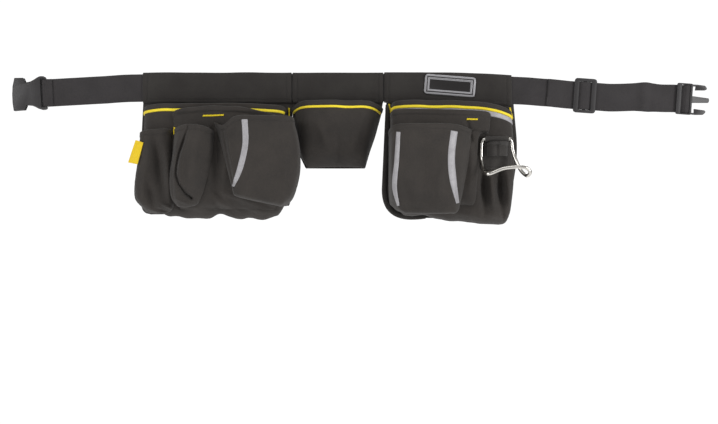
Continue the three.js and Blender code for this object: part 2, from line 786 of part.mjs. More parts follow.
const knifePocket = makePouch({
  left: leftPanelLeft + knifePocketInset,
  rim: -knifePocketTop,
  width: knifePocketWidth,
  height: knifePocketHeight,
  depth: knifePocketDepth,
  play: 0.5,
  square: 2.8,
  crown: 8,
  behind: leftMiddle.front,
  across: 12,
  rows: [
    { down: 0, left: 0, right: 0.98, deep: 1, slantLeft: 0.24, slantRight: 0.1 },
    { down: 0.3, left: 0.02, right: 0.97, deep: 1, slantLeft: 0.12, slantRight: 0.14 },
    { down: 0.6, left: 0.03, right: 0.9, deep: 0.97, slantLeft: 0.04, slantRight: 0.2 },
    { down: 0.84, left: 0.06, right: 0.8, deep: 0.85, slantLeft: 0.08, slantRight: 0.22 },
    { down: 0.93, left: 0.16, right: 0.68, deep: 0.55, slantLeft: 0.06, slantRight: 0.1, belly: 0.05 },
    { down: 0.94, left: 0.22, right: 0.62, deep: 0 },
  ],
  folds: [
    { across: 0.3, down: 0.6, wide: 0.1, tall: 0.35, push: -0.14 },
    { across: 0.55, down: 0.86, wide: 0.1, tall: 0.14, push: -0.16 },
  ],
});
addPiece('left_knife_pocket', knifePocket.shell(), 'cloth');

const leftFront = makePouch({
  left: leftPanelRight - 0.2 - leftFrontWidth,
  rim: -leftFrontTop,
  width: leftFrontWidth,
  height: leftFrontHeight,
  depth: leftFrontDepth,
  play: 0.5,
  square: 4.5,
  crown: 4,
  behind: leftMiddle.front,
  across: 14,
  rows: [
    { down: 0, left: 0.02, right: 0.985, deep: 1, slantLeft: 0.22, slantRight: -0.1 },
    { down: 0.28, left: 0.12, right: 1.01, deep: 0.98, slantLeft: 0.13, slantRight: -0.12, lower: 0.02 },
    { down: 0.56, left: 0.19, right: 1.03, deep: 0.97, slantLeft: 0.07, slantRight: -0.145, lower: 0.06 },
    { down: 0.8, left: 0.245, right: 1.02, deep: 0.94, slantLeft: 0.03, slantRight: -0.11, lower: 0.1 },
    {
      down: 0.88, left: 0.265, right: 0.98, deep: 0.84, slantLeft: 0.01, slantRight: -0.03, lower: 0.12,
      belly: 0.035,
    },
    { down: 0.885, left: 0.28, right: 0.965, deep: 0.4, lower: 0.1, belly: 0.06 },
    { down: 0.86, left: 0.29, right: 0.955, deep: 0.03, lower: 0.07 },
  ],
  folds: [
    { across: 0.62, down: 0.3, wide: 0.3, tall: 0.3, push: 0.04 },
  ],
});
addPiece('left_front_pouch', leftFront.shell(), 'cloth');
addPiece('left_front_stripe', stripe(leftFront, leftStripeWidth, [
  { across: 0.44, down: 0.05, wide: 1 },
  { across: 0.46, down: 0.32, wide: 1 },
  { across: 0.4, down: 0.6, wide: 0.95 },
  { across: 0.325, down: 0.8, wide: 0.5 },
]), 'reflective');

// The folded label sewn to the left side of the level pocket

function foldedLabel() {
  const tilt = 15 * degrees;
  const hinge = { x: leftPanelLeft + 10.5, z: levelPocket.rim - 15 };
  const sheet = 0.8;
  const opening = 1.4;
  const facetSink = 0.7;
  const seatOut = levelPocket.front(hinge.x + 0.5, hinge.z - labelTall / 2) - facetSink;
  const thick = 2 * sheet + opening;
  const outline = new THREE.Shape();
  outline.moveTo(0, 0);
  outline.lineTo(0, thick);
  outline.lineTo(-labelWidth + 1, thick);
  outline.quadraticCurveTo(-labelWidth, thick / 2, -labelWidth + 1, 0);
  outline.closePath();
  const hole = new THREE.Path();
  hole.moveTo(-1.2, sheet);
  hole.lineTo(-labelWidth + 1.6, sheet);
  hole.lineTo(-labelWidth + 1.6, thick - sheet);
  hole.lineTo(-1.2, thick - sheet);
  hole.closePath();
  outline.holes.push(hole);
  const geometry = new THREE.ExtrudeGeometry(outline, { depth: labelTall, bevelEnabled: false, curveSegments: 3 });
  geometry.rotateX(Math.PI);
  geometry.rotateY(tilt);
  geometry.translate(hinge.x, -seatOut, hinge.z);
  return geometry;
}

addPiece('left_label', foldedLabel(), 'piping');

// Tape pouch on the middle panel

const tapePouch = makePouch({
  left: middleLeft + tapeInset,
  rim: -tapeTop,
  width: tapeWidth,
  height: tapeHeight,
  depth: tapeDepth,
  square: 5,
  crown: 8,
  behind: onPanel,
  across: 16,
  rows: [
    { down: 0, left: 0, right: 0.99, deep: 1, slantLeft: 0.09, slantRight: 0.16 },
    { down: 0.25, left: 0.04, right: 0.935, deep: 0.99, slantLeft: 0.06, slantRight: 0.1 },
    { down: 0.55, left: 0.078, right: 0.885, deep: 0.9, slantLeft: 0.03, slantRight: 0.06 },
    { down: 0.8, left: 0.11, right: 0.84, deep: 0.62, slantLeft: 0.01, slantRight: 0.03 },
    { down: 0.985, left: 0.148, right: 0.805, deep: 0.2 },
    { down: 0.995, left: 0.152, right: 0.8, deep: 0 },
  ],
});
addPiece('tape_pouch', tapePouch.shell(), 'cloth');
addPiece('tape_piping', rimBand(tapePouch, {
  from: 0.03, to: 0.97, under: hemTall, tall: pipingTall, thick: pipingThickness,
}), 'piping');

// Right cluster

const rightMain = makePouch({
  left: rightPanelLeft + rightMainInset,
  rim: -rightMainTop,
  width: rightMainWidth,
  height: rightMainHeight,
  depth: rightMainDepth,
  square: 5.5,
  crown: 4.5,
  behind: onPanel,
  across: 20,
  rows: [
    { down: 0, left: 0, right: 1, deep: 1, lower: 0.02 },
    { down: 0.3, left: 0, right: 1.025, deep: 0.98, lower: 0.02 },
    { down: 0.62, left: 0, right: 1.025, deep: 1.02, lower: 0.03 },
    { down: 0.86, left: 0.035, right: 1, deep: 1, lower: 0.05, belly: 0.01 },
    { down: 0.92, left: 0.065, right: 0.975, deep: 0.8, lower: 0.065, belly: 0.06 },
    { down: 0.945, left: 0.09, right: 0.955, deep: 0.36, lower: 0.07, belly: 0.06 },
    { down: 0.94, left: 0.12, right: 0.945, deep: 0, lower: 0.07 },
  ],
  folds: [
    { across: 0.86, down: 0.72, wide: 0.13, tall: 0.2, push: -0.26 },
    { across: 0.8, down: 0.96, wide: 0.2, tall: 0.1, push: 0.06 },
  ],
  sags: [
    { across: 0.25, wide: 0.08, drop: -0.045 },
  ],
});
addPiece('right_main_pouch', rightMain.shell(), 'cloth');
addPiece('right_main_piping', rimBand(rightMain, {
  from: 0.07, to: 0.95, under: hemTall, tall: pipingTall, thick: pipingThickness,
}), 'piping');
addPiece('right_main_reflective', rimBand(rightMain, {
  from: 0.82, to: 0.95, under: hemTall + pipingTall + 1, tall: reflectiveTall, thick: stripeThickness,
}), 'reflective');

const rightMiddle = makePouch({
  left: rightMain.left - pocketOverhang,
  rim: rightMain.rim - rightMiddleDrop,
  width: rightMiddleWidth,
  height: rightMiddleHeight,
  depth: rightMain.depth + rightMiddleDepth,
  play: 0.5,
  square: 5,
  crown: 7.5,
  behind: rightMain.front,
  across: 16,
  rows: [
    { down: 0, left: 0, right: 1, deep: 1, lower: 0.02 },
    { down: 0.16, left: 0, right: 0.995, deep: 1, lower: 0.02 },
    { down: 0.235, left: 0, right: 0.885, deep: 1, lower: 0.02 },
    { down: 0.75, left: 0.005, right: 0.87, deep: 1, lower: 0.03 },
    { down: 0.93, left: 0.015, right: 0.85, deep: 0.85, lower: 0.06 },
    { down: 0.98, left: 0.01, right: 0.82, deep: 0.03, lower: 0.07 },
  ],
});
addPiece('right_middle_pocket', rightMiddle.shell(), 'cloth');

const rightFront = makePouch({
  left: rightMiddle.left - pocketOverhang,
  rim: -rightFrontTop,
  width: rightFrontWidth,
  height: rightFrontHeight,
  depth: rightFrontDepth,
  play: 0.5,
  square: 4.5,
  crown: 7,
  behind: rightMiddle.front,
  across: 14,
  rows: [
    { down: 0, left: 0, right: 0.99, deep: 1, slantLeft: 0.03, slantRight: 0.18 },
    { down: 0.32, left: 0, right: 0.96, deep: 0.98, slantLeft: 0.02, slantRight: 0.17 },
    { down: 0.66, left: 0, right: 0.9, deep: 0.97, slantLeft: 0.01, slantRight: 0.1 },
    { down: 0.84, left: 0.013, right: 0.86, deep: 0.96, slantLeft: 0.03, slantRight: 0.03, belly: 0.04 },
    { down: 0.87, left: 0.04, right: 0.84, deep: 0.82, slantLeft: 0.07, belly: 0.1 },
    { down: 0.87, left: 0.05, right: 0.825, deep: 0.36, slantLeft: 0.04, belly: 0.08 },
    { down: 0.84, left: 0.05, right: 0.815, deep: 0.02 },
  ],
});
addPiece('right_front_pouch', rightFront.shell(), 'cloth');
addPiece('right_front_stripe_right', stripe(rightFront, rightStripeWidth, [
  { across: 0.77, down: 0.035, wide: 1 },
  { across: 0.735, down: 0.32, wide: 1 },
  { across: 0.75, down: 0.56, wide: 1 },
  { across: 0.795, down: 0.8, wide: 0.75 },
]), 'reflective');
addPiece('right_front_stripe_left', stripe(rightFront, narrowStripeWidth, [
  { across: 0.1, down: 0.05, wide: 1 },
  { across: 0.08, down: 0.37, wide: 1 },
  { across: 0.055, down: 0.66, wide: 0.9 },
  { across: 0.085, down: 0.84, wide: 0.6 },
]), 'reflective');

// Hammer tab, tool band and steel loop on the right side of the right main pouch

const tabLeft = rightMain.left + tabInset;
const tabTop = rightMain.rim - tabDrop;
const wireRadius = wireDiameter / 2;
const channelBore = wireRadius + gap;
const channelWall = 1.3;
const tabPlay = 1;
const tabFront = (x, z) => rightMain.front(x, z) + tabPlay + clothThickness;
const channelInset = 4;
const channelEnds = [tabLeft + channelInset, tabLeft + tabWidth - channelInset];
const channelOut = channelBore + 0.5 + Math.max(...[0, 0.25, 0.5, 0.75, 1].map((share) => (
  tabFront(mix(...channelEnds, share), tabTop))));

function tubeAlong(centres, radius, sides) {
  const outline = [];
  for (let side = 0; side < sides; side += 1) {
    const angle = (side / sides) * 2 * Math.PI;
    outline.push(new THREE.Vector2(Math.cos(angle), Math.sin(angle)));
  }
  const rings = centres.map((centre) => outline.map(({ x: out, y: rise }) => (
    new THREE.Vector3(centre.x, centre.y - out * radius, centre.z + rise * radius))));
  return loftMesh(rings, outline);
}

function hammerTab() {
  const columns = 8;
  const rows = 7;
  const place = (row, column, proud) => {
    const x = tabLeft + (column / (columns - 1)) * tabWidth;
    const z = tabTop - (row / (rows - 1)) * tabTall;
    return new THREE.Vector3(x, -rightMain.front(x, z) - proud, z);
  };
  const patch = toSolid(slabMesh(
    rows,
    columns,
    (row, column) => place(row, column, tabPlay + clothThickness),
    (row, column) => place(row, column, tabPlay),
  ));
  const [from, to] = channelEnds;
  const centres = (grow) => [from + 2 - grow, to - 2 + grow].map((x) => new THREE.Vector3(x, -channelOut, tabTop));
  const sleeve = toSolid(tubeAlong(centres(0), channelBore + channelWall, 12));
  const bore = toSolid(tubeAlong(centres(1), channelBore, 12));
  return toGeometry(patch.add(sleeve).subtract(bore));
}

addPiece('hammer_tab', hammerTab(), 'binding');

const toolBand = makePouch({
  left: tabLeft + (tabWidth - bandWidth) / 2 + 1,
  rim: tabTop - channelBore - channelWall - 1.2,
  width: bandWidth,
  height: bandTall,
  depth: bandDepth,
  hugging: true,
  square: 2.3,
  behind: tabFront,
  across: 10,
  rows: [
    { down: 0, left: 0, right: 1, deep: 0.92 },
    { down: 0.5, left: 0, right: 1, deep: 1 },
    { down: 1, left: 0, right: 1, deep: 0.94 },
  ],
  folds: [
    { across: 0.45, down: 0.5, wide: 0.08, tall: 2, push: -0.18 },
  ],
});
addPiece('tool_band', toolBand.shell(), 'binding');

// The wire: its top bar lies in the tab's channel, its legs drop and swing forward to a front bar

function hammerLoop() {
  const [barLeft, barRight] = channelEnds;
  const frontOut = channelOut + loopReach;
  const along = (x, drop, forward) => (
    new THREE.Vector3(x, -mix(channelOut, frontOut, forward), tabTop - drop * loopDrop));
  const corners = [
    along(barLeft, 0, 0),
    along(barLeft + 0.4 * wireDiameter, 0, 0),
    along((barLeft + barRight) / 2, 0, 0),
    along(barRight - 0.4 * wireDiameter, 0, 0),
    along(barRight, 0, 0),
    along(barRight + 0.5 * wireDiameter, 0.09, 0),
    along(barRight + 0.8 * wireDiameter, 0.3, 0),
    along(barRight + 1.6 * wireDiameter, 0.6, 0.1),
    along(barRight + 3 * wireDiameter, 0.95, 0.4),
    along(barRight + 4.4 * wireDiameter, 1.08, 0.7),
    along(barRight + 5 * wireDiameter, 0.98, 0.92),
    along(barRight + 3.8 * wireDiameter, 0.86, 1.02),
    along(mix(barLeft, barRight, 0.7), 0.87, 1.07),
    along(barLeft + 1.2 * wireDiameter, 1.02, 0.98),
    along(barLeft + 0.1 * wireDiameter, 1, 0.78),
    along(barLeft - 0.4 * wireDiameter, 0.82, 0.35),
    along(barLeft - 0.7 * wireDiameter, 0.55, 0.04),
    along(barLeft - 0.7 * wireDiameter, 0.3, 0),
    along(barLeft - 0.5 * wireDiameter, 0.09, 0),
  ];
  const curve = new THREE.CatmullRomCurve3(corners, true, 'centripetal');
  const stations = 46;
  const sides = 6;
  const frames = curve.computeFrenetFrames(stations, true);
  const rings = [];
  for (let station = 0; station < stations; station += 1) {
    const centre = curve.getPointAt(station / stations);
    const ring = [];
    for (let side = 0; side < sides; side += 1) {
      const angle = (side / sides) * 2 * Math.PI;
      ring.push(centre.clone()
        .addScaledVector(frames.normals[station], Math.cos(angle) * wireRadius)
        .addScaledVector(frames.binormals[station], Math.sin(angle) * wireRadius));
    }
    rings.push(ring);
  }
  return loftMesh(rings);
}

addPiece('hammer_loop', hammerLoop(), 'steel');

// Badge on the right sleeve: a plain plate with a raised double border

function roundedBox(halfWide, halfTall, round) {
  return roundedOutline([
    { x: -halfWide, z: -halfTall, round }, { x: halfWide, z: -halfTall, round },
    { x: halfWide, z: halfTall, round }, { x: -halfWide, z: halfTall, round },
  ]);
}

function badge() {
  const border = 2.6;
  const raised = 0.9;
  const seatOut = sleeveFront + gap;
  const base = toSolid(plate(roundedBox(badgeWidth / 2, badgeTall / 2, 5), seatOut, seatOut + badgeThickness));
  const frame = (inset, wide, round) => {
    const ring = roundedBox(badgeWidth / 2 - inset, badgeTall / 2 - inset, round);
    ring.holes.push(roundedBox(badgeWidth / 2 - inset - wide, badgeTall / 2 - inset - wide, round - 1));
    return toSolid(plate(ring, seatOut + badgeThickness / 2, seatOut + badgeThickness + raised));
  };
  const geometry = toGeometry(base.add(frame(0.4, border, 4.6)).add(frame(border + 2, 1, 3)));
  geometry.rotateY(4.5 * degrees);
  geometry.translate(rightPanelLeft + 0.515 * rightPanelWidth, 0, 2.6);
  return geometry;
}

addPiece('badge', badge(), 'badge');

// Buckle and slider, drawn about their webbing bar and set on the strap's line

function seatOn(solid, seat) {
  const geometry = toGeometry(solid);
  geometry.rotateY(-seat.lean * degrees);
  geometry.translate(seat.x, 0, seat.z);
  return geometry;
}

function crossBar(along, out, half) {
  const bar = new THREE.CylinderGeometry(buckleBarDiameter / 2, buckleBarDiameter / 2, 2 * half, 12);
  bar.rotateX(Math.PI / 2);
  bar.translate(along, -out, 0);
  return toSolid(bar);
}

function femaleBuckle() {
  const half = femaleWidth / 2;
  const tip = 3.5 - femaleLength;
  const back = turnOut - femaleThickness / 2;
  const waist = 0.335 * femaleWidth;
  const outline = new THREE.Shape();
  outline.moveTo(3.5, -half + 2.5);
  outline.lineTo(3.5, half - 2.5);
  outline.quadraticCurveTo(3, half, -1, half);
  outline.lineTo(-4, half);
  outline.bezierCurveTo(-10, half - 1, -14, waist, 0.54 * tip, waist);
  outline.lineTo(0.6 * tip, half - 0.9);
  outline.lineTo(0.88 * tip, half - 0.4);
  outline.quadraticCurveTo(1.12 * tip, 0, 0.88 * tip, 0.4 - half);
  outline.lineTo(0.6 * tip, 0.9 - half);
  outline.lineTo(0.54 * tip, -waist);
  outline.bezierCurveTo(-14, -waist, -10, 1 - half, -4, -half);
  outline.lineTo(-1, -half);
  outline.quadraticCurveTo(3, -half, 3.5, -half + 2.5);
  const wall = 2;
  const cavity = femaleThickness / 2 - wall;
  const body = toSolid(plate(outline, back, back + femaleThickness, 1.4));
  const slot = turnRadius + webbingThickness / 2 + gap;
  const cuts = [
    block(-slot, 5, -30, 30, -channelHalf, channelHalf),
    block(1.2 * tip, 0.3 * tip, -turnOut - cavity, -turnOut + cavity, -0.6 * waist, 0.6 * waist),
    block(1.2 * tip, 0.62 * tip, -turnOut - cavity, -turnOut + cavity, -half + 3.4, half - 3.4),
    block(0.64 * tip, 0.42 * tip, -turnOut - cavity, -turnOut + cavity, 0.5 * waist, half + 1),
    block(0.64 * tip, 0.42 * tip, -turnOut - cavity, -turnOut + cavity, -half - 1, -0.5 * waist),
  ];
  const open = cuts.reduce((solid, cut) => solid.subtract(cut), body);
  return open.add(crossBar(0, turnOut, channelHalf + 1.5));
}

addPiece('buckle_female', seatOn(femaleBuckle(), femaleSeat), 'plastic');

function maleBuckle() {
  const half = maleWidth / 2;
  const right = 8.6;
  const left = right - maleBaseLength;
  const barFront = hardwareBack + 3.9;
  const railBack = strapOut - webbingThickness / 2;
  const frontFrame = roundedOutline([
    { x: left, z: -half, round: 2.5 }, { x: right, z: -half, round: 2.5 },
    { x: right, z: half, round: 2.5 }, { x: left, z: half, round: 2.5 },
  ]);
  frontFrame.holes.push(roundedOutline([
    { x: left + sliderBar - 0.2, z: -channelHalf, round: 0.6 }, { x: right - 2.8, z: -channelHalf, round: 0.6 },
    { x: right - 2.8, z: channelHalf, round: 0.6 }, { x: left + sliderBar - 0.2, z: channelHalf, round: 0.6 },
  ]));
  const rail = (side) => (side > 0
    ? block(-4, right - 1, -barFront + 1, -railBack, channelHalf, half - 0.4)
    : block(-4, right - 1, -barFront + 1, -railBack, -half + 0.4, -channelHalf));
  const prongBase = prongReach - 17.5;
  const prong = (side) => {
    const head = new THREE.Shape();
    head.moveTo(right - 2, side * (half - 3.4));
    head.lineTo(prongBase, side * (half - 3.2));
    head.lineTo(prongBase - 0.5, side * (half - 9));
    head.lineTo(prongReach - 4, side * (half - 8));
    head.quadraticCurveTo(prongReach + 1, side * (half - 6.5), prongReach - 5, side * (half - 1.6));
    head.lineTo(prongBase + 2, side * (half - 0.8));
    head.lineTo(right - 2, side * (half - 1));
    head.closePath();
    return toSolid(plate(head, turnOut - 2.6, turnOut + 2.6));
  };
  const guide = new THREE.Shape();
  guide.moveTo(right - 1.5, -5);
  guide.lineTo(prongReach + 1.5, -3.2);
  guide.quadraticCurveTo(prongReach + 3.5, 0, prongReach + 1.5, 3.2);
  guide.lineTo(right - 1.5, 5);
  guide.closePath();
  return toSolid(plate(frontFrame, hardwareBack, barFront, 0.9))
    .add(block(right - 2.8, right, -barFront + 0.8, -turnOut + 2.6, -half + 2, half - 2))
    .add(rail(1)).add(rail(-1))
    .add(crossBar(0, turnOut, channelHalf + 1))
    .add(prong(1)).add(prong(-1))
    .add(toSolid(plate(guide, turnOut - 2.2, turnOut + 2.2)));
}

addPiece('buckle_male', seatOn(maleBuckle(), maleSeat), 'plastic');

function slider() {
  const half = sliderWidth / 2;
  const reach = sliderLength / 2;
  const frontThickness = 2.7;
  const barFront = strapOut + sliderLift - webbingThickness / 2 - gap;
  const barThickness = 2.2;
  const window = reach - sliderBar;
  const frame = roundedOutline([
    { x: -reach, z: -half, round: 5 }, { x: reach, z: -half, round: 5 },
    { x: reach, z: half, round: 5 }, { x: -reach, z: half, round: 5 },
  ]);
  frame.holes.push(roundedOutline([
    { x: -window, z: -channelHalf, round: 1 }, { x: window, z: -channelHalf, round: 1 },
    { x: window, z: channelHalf, round: 1 }, { x: -window, z: channelHalf, round: 1 },
  ]));
  const back = -barFront + barThickness;
  const post = (from, to) => block(-window, window, -hardwareBack - 1, back, from, to);
  return toSolid(plate(frame, hardwareBack, hardwareBack + frontThickness, 0.7))
    .add(post(channelHalf, half - 1.2))
    .add(post(1.2 - half, -channelHalf))
    .add(block(-2.5, 2.5, -barFront, back, -half + 1.2, half - 1.2));
}

addPiece('slider', seatOn(slider(), sliderSeat), 'plastic');

export default belt;
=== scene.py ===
# %% [markdown]
# # A cloth tool belt
# This lesson dresses a tool belt: three pouch panels threaded on one webbing strap, with pockets,
# piping, reflective tape, a steel hammer loop, a slider and a side-release buckle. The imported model
# gives the frame: every piece below lies where its solid lies. Lengths are in millimetres until a
# mesh is made, because a maker of bags thinks in millimetres.

# %% Load the frame
import math

import bpy
import bmesh
import numpy as np
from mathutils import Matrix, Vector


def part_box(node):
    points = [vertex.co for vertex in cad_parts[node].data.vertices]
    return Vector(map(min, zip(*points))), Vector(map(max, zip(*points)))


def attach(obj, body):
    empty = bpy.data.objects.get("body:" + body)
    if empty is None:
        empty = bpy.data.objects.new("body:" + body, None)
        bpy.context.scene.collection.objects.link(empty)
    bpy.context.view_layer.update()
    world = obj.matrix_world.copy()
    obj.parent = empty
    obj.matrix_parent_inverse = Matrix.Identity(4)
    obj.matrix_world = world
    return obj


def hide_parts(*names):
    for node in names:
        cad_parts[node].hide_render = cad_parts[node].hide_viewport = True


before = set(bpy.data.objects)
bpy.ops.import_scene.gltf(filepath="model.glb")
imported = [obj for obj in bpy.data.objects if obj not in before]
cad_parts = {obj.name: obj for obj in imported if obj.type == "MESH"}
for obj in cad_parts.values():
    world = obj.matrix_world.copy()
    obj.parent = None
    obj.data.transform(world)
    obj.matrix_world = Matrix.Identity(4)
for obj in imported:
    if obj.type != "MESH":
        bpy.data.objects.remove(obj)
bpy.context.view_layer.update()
MM = 0.001
print("frame loaded:", len(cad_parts), "nodes")

# %% [markdown]
# ## Camera and light
# The belt is seen straight from the front at eye height, from far enough away that the deep pouches
# look only a little larger than the strap. Soft boxes stand left and right of the camera, so that the
# turned sides of the pouches are lighter than their fronts, as on a catalogue picture. A third hangs
# above, and a fourth lights the back.

# %% Camera
VIEW_DISTANCE = 1750.0
VIEW_CENTRE = (30.6, -180.4)
FRAME_PIXELS, PIXEL = 718, 1.455

def placed(name, data):
    made = bpy.data.objects.new(name, data)
    bpy.context.scene.collection.objects.link(made)
    return made

camera_data = bpy.data.cameras.new("camera")
camera_data.sensor_width = 36
camera_data.lens = 36 * VIEW_DISTANCE / (FRAME_PIXELS * PIXEL)
camera = placed("camera", camera_data)
camera.location = (VIEW_CENTRE[0] * MM, -VIEW_DISTANCE * MM, VIEW_CENTRE[1] * MM)
camera.rotation_euler = (math.pi / 2, 0, 0)
bpy.context.scene.camera = camera
bpy.context.scene.view_settings.view_transform = "Standard"
print("lens", round(camera_data.lens, 1), "mm")

# %% Soft boxes and sky
def soft_box(name, place, aim, size, power):
    data = bpy.data.lights.new(name, "AREA")
    data.shape = "RECTANGLE"
    data.size, data.size_y = size
    data.energy = power
    lamp = placed(name, data)
    lamp.location = place
    way = np.array(aim) - np.array(place)
    across = math.hypot(way[0], way[1])
    lamp.rotation_euler = (math.atan2(across, -way[2]), 0, math.atan2(way[1], way[0]) - math.pi / 2)

soft_box("box_left", (-1.5, -1.2, 0.1), (-0.1, 0, -0.1), (0.7, 1.4), 13)
soft_box("box_right", (1.6, -1.2, 0.1), (0.15, 0, -0.1), (0.7, 1.4), 22)
soft_box("box_top", (0.0, -1.3, 1.4), (0, 0, -0.1), (1.6, 0.7), 8)
soft_box("box_back", (0.0, 1.5, 1.0), (0, 0, -0.1), (2.0, 0.6), 16)
sky = bpy.data.worlds.new("studio")
sky.use_nodes = True
bpy.context.scene.world = sky
print("four soft boxes")

# %% [markdown]
# ## Finishes
# Each finish starts from what the real one is. Cloth, webbing and tape read the piece's own map, which
# is laid out in metres, so a thread is as wide on every piece and runs with the cut of the cloth.

# %% Helpers for colours and nodes
def linear(code):
    parts = [int(code[at:at + 2], 16) / 255 for at in (0, 2, 4)]
    return [v / 12.92 if v <= 0.04045 else ((v + 0.055) / 1.055) ** 2.4 for v in parts] + [1.0]

def add(tree, kind, given=None, **settings):
    """One new node. An input is given another node's socket or a plain value."""
    node = tree.nodes.new(kind)
    for key, value in settings.items():
        if hasattr(node, key):
            setattr(node, key, value)
        else:
            node.inputs[key.replace("_", " ")].default_value = value
    for socket, source in (given or {}).items():
        if isinstance(source, bpy.types.NodeSocket):
            tree.links.new(source, node.inputs[socket])
        else:
            node.inputs[socket].default_value = source
    return node

def maths(tree, operation, first, second=0.5):
    return add(tree, "ShaderNodeMath", {0: first, 1: second}, operation=operation).outputs[0]

def noise(tree, scale, detail=2.0):
    where = add(tree, "ShaderNodeTexCoord").outputs["Object"]
    return add(tree, "ShaderNodeTexNoise", {"Vector": where}, Scale=scale, Detail=detail).outputs[0]

def paint(tree, share, first, second):
    """The base colour goes from the first colour to the second with the share."""
    mixed = add(tree, "ShaderNodeMix", {0: share, 6: first, 7: second}, data_type="RGBA")
    tree.links.new(mixed.outputs[2], tree.nodes["Principled BSDF"].inputs["Base Color"])

def emboss(tree, height, strength, distance):
    bump = add(tree, "ShaderNodeBump", {"Height": height}, Strength=strength, Distance=distance)
    tree.links.new(bump.outputs[0], tree.nodes["Principled BSDF"].inputs["Normal"])

def finish(name, **sockets):
    material = bpy.data.materials.new(name)
    material.use_nodes = True
    shader = material.node_tree.nodes["Principled BSDF"]
    for key, value in sockets.items():
        shader.inputs[key.replace("_", " ")].default_value = value
    return material, material.node_tree

# The sky lights softly, and is pure white where it is seen
seen = add(sky.node_tree, "ShaderNodeLightPath").outputs["Is Camera Ray"]
lift = add(sky.node_tree, "ShaderNodeMapRange", {"Value": seen, "To Min": 0.36, "To Max": 1.05})
glow = sky.node_tree.nodes["Background"]
glow.inputs["Color"].default_value = (1, 1, 1, 1)
sky.node_tree.links.new(lift.outputs[0], glow.inputs["Strength"])

def woven(name, dark, light, pitch=(1.5, 1.5), roughness=0.88, relief=0.22, blotch=35.0, sheen=0.08):
    """Cloth of twisted yarn: colour that drifts a little, and a relief of warp and weft."""
    material, tree = finish(name, Roughness=roughness, Sheen_Weight=sheen, Sheen_Roughness=0.5)
    fuzz = noise(tree, 900.0)
    shade = maths(tree, "ADD", noise(tree, blotch, 3.0), fuzz)
    ramp = add(tree, "ShaderNodeMapRange", {"Value": shade, "From Min": 0.75, "From Max": 1.25})
    paint(tree, ramp.outputs[0], linear(dark), linear(light))
    sides = add(tree, "ShaderNodeSeparateXYZ", {0: add(tree, "ShaderNodeUVMap", uv_map="cloth").outputs[0]})
    waves = [maths(tree, "SINE", maths(tree, "MULTIPLY", sides.outputs[n], 2 * math.pi / (pitch[n] * MM)))
             for n in (0, 1)]
    emboss(tree, maths(tree, "ADD", maths(tree, "MULTIPLY", *waves), fuzz), relief, 0.0003)
    return material

# %% Cloth, webbing and tapes
# Coated polyester yarn, plainly woven: dull, almost black, with a faint bloom at grazing angles.
pouch_cloth = woven("woven_polyester_cloth", "282421", "332e2a")
sleeve_cloth = woven("woven_polyester_sleeve", "231f1d", "2c2926")
# Webbing is woven thick and ribbed, a little lighter than the cloth.
strap_webbing = woven("woven_polyester_webbing", "282526", "312e2f", pitch=(2.6, 1.7), relief=0.5)
binding_tape = woven("ribbed_binding_tape", "2d2a28", "373431", pitch=(40.0, 1.4), relief=0.4)
# Bright woven tape, and the satin ribbon of the label.
yellow_tape = woven("yellow_woven_tape", "ecd01c", "fbe52c", pitch=(1.2, 1.2), roughness=0.6,
                    relief=0.3, sheen=0.1)
label_tape = woven("yellow_satin_label", "d9b60a", "e8c70e", pitch=(0.8, 0.8), roughness=0.5,
                   relief=0.2, sheen=0.05)
# Tape covered with fine glass beads: silver grey with a soft gloss.
bead_tape = woven("glass_bead_reflective_tape", "8f8d90", "a9a7aa", pitch=(1.0, 1.0), roughness=0.42,
                  relief=0.15, blotch=60.0, sheen=0.0)

def plain_thread(name, code):
    material, tree = finish(name, Roughness=0.5)
    base = linear(code)
    paint(tree, noise(tree, 1500.0), base, [v * 1.25 for v in base[:3]] + [1.0])
    return material

yellow_thread = plain_thread("yellow_polyester_thread", "e8cf10")
black_thread = plain_thread("black_polyester_thread", "232120")
print("cloths and threads ready")

# %% Moulded plastic, soft badge and steel
def moulded(name, dark, light, roughness, grain, depth, metallic=0.0):
    """Moulded plastic: even colour and a fine spark-eroded grain."""
    material, tree = finish(name, Roughness=roughness, Metallic=metallic)
    paint(tree, noise(tree, 70.0), linear(dark), linear(light))
    emboss(tree, noise(tree, grain), 0.15, depth)
    return material

def badge_finish():
    """Silvered plastic with a dark line inside its rim and a dark field in the middle."""
    material = moulded("silvered_moulded_badge", "98979a", "acabae", 0.33, 900.0, 0.0001, 0.3)
    tree = material.node_tree
    turned = add(tree, "ShaderNodeMapping", {
        "Vector": add(tree, "ShaderNodeTexCoord").outputs["Object"], "Location": (0.1623, 0, 0.0026),
        "Rotation": (0, math.radians(4.5), 0)}, vector_type="TEXTURE")
    parts = add(tree, "ShaderNodeSeparateXYZ", {0: turned.outputs[0]})
    insets = [maths(tree, "SUBTRACT", half, maths(tree, "ABSOLUTE", parts.outputs[n]))
              for n, half in ((0, 0.03685), (2, 0.0145))]
    ramp = add(tree, "ShaderNodeValToRGB", {
        0: maths(tree, "MULTIPLY", maths(tree, "MINIMUM", *insets), 50.0)})
    ramp.color_ramp.interpolation = "CONSTANT"
    for at, shade in ((0.145, 1), (0.215, 0), (0.36, 1)):
        ramp.color_ramp.elements.new(at).color = (shade, shade, shade, 1)
    ramp.color_ramp.elements[0].color = (0, 0, 0, 1)
    ramp.color_ramp.elements[-1].color = (1, 1, 1, 1)
    silver = tree.nodes["Principled BSDF"].inputs["Base Color"].links[0].from_socket
    paint(tree, ramp.outputs[0], silver, linear("2b2929"))
    return material

buckle_plastic = moulded("moulded_acetal", "262425", "2f2d2e", 0.42, 1200.0, 0.0002)
badge_face = badge_finish()
loop_steel = moulded("polished_plated_steel", "c9c6c0", "dedbd5", 0.16, 250.0, 0.0002, 1.0)
print("plastic, badge and steel ready")

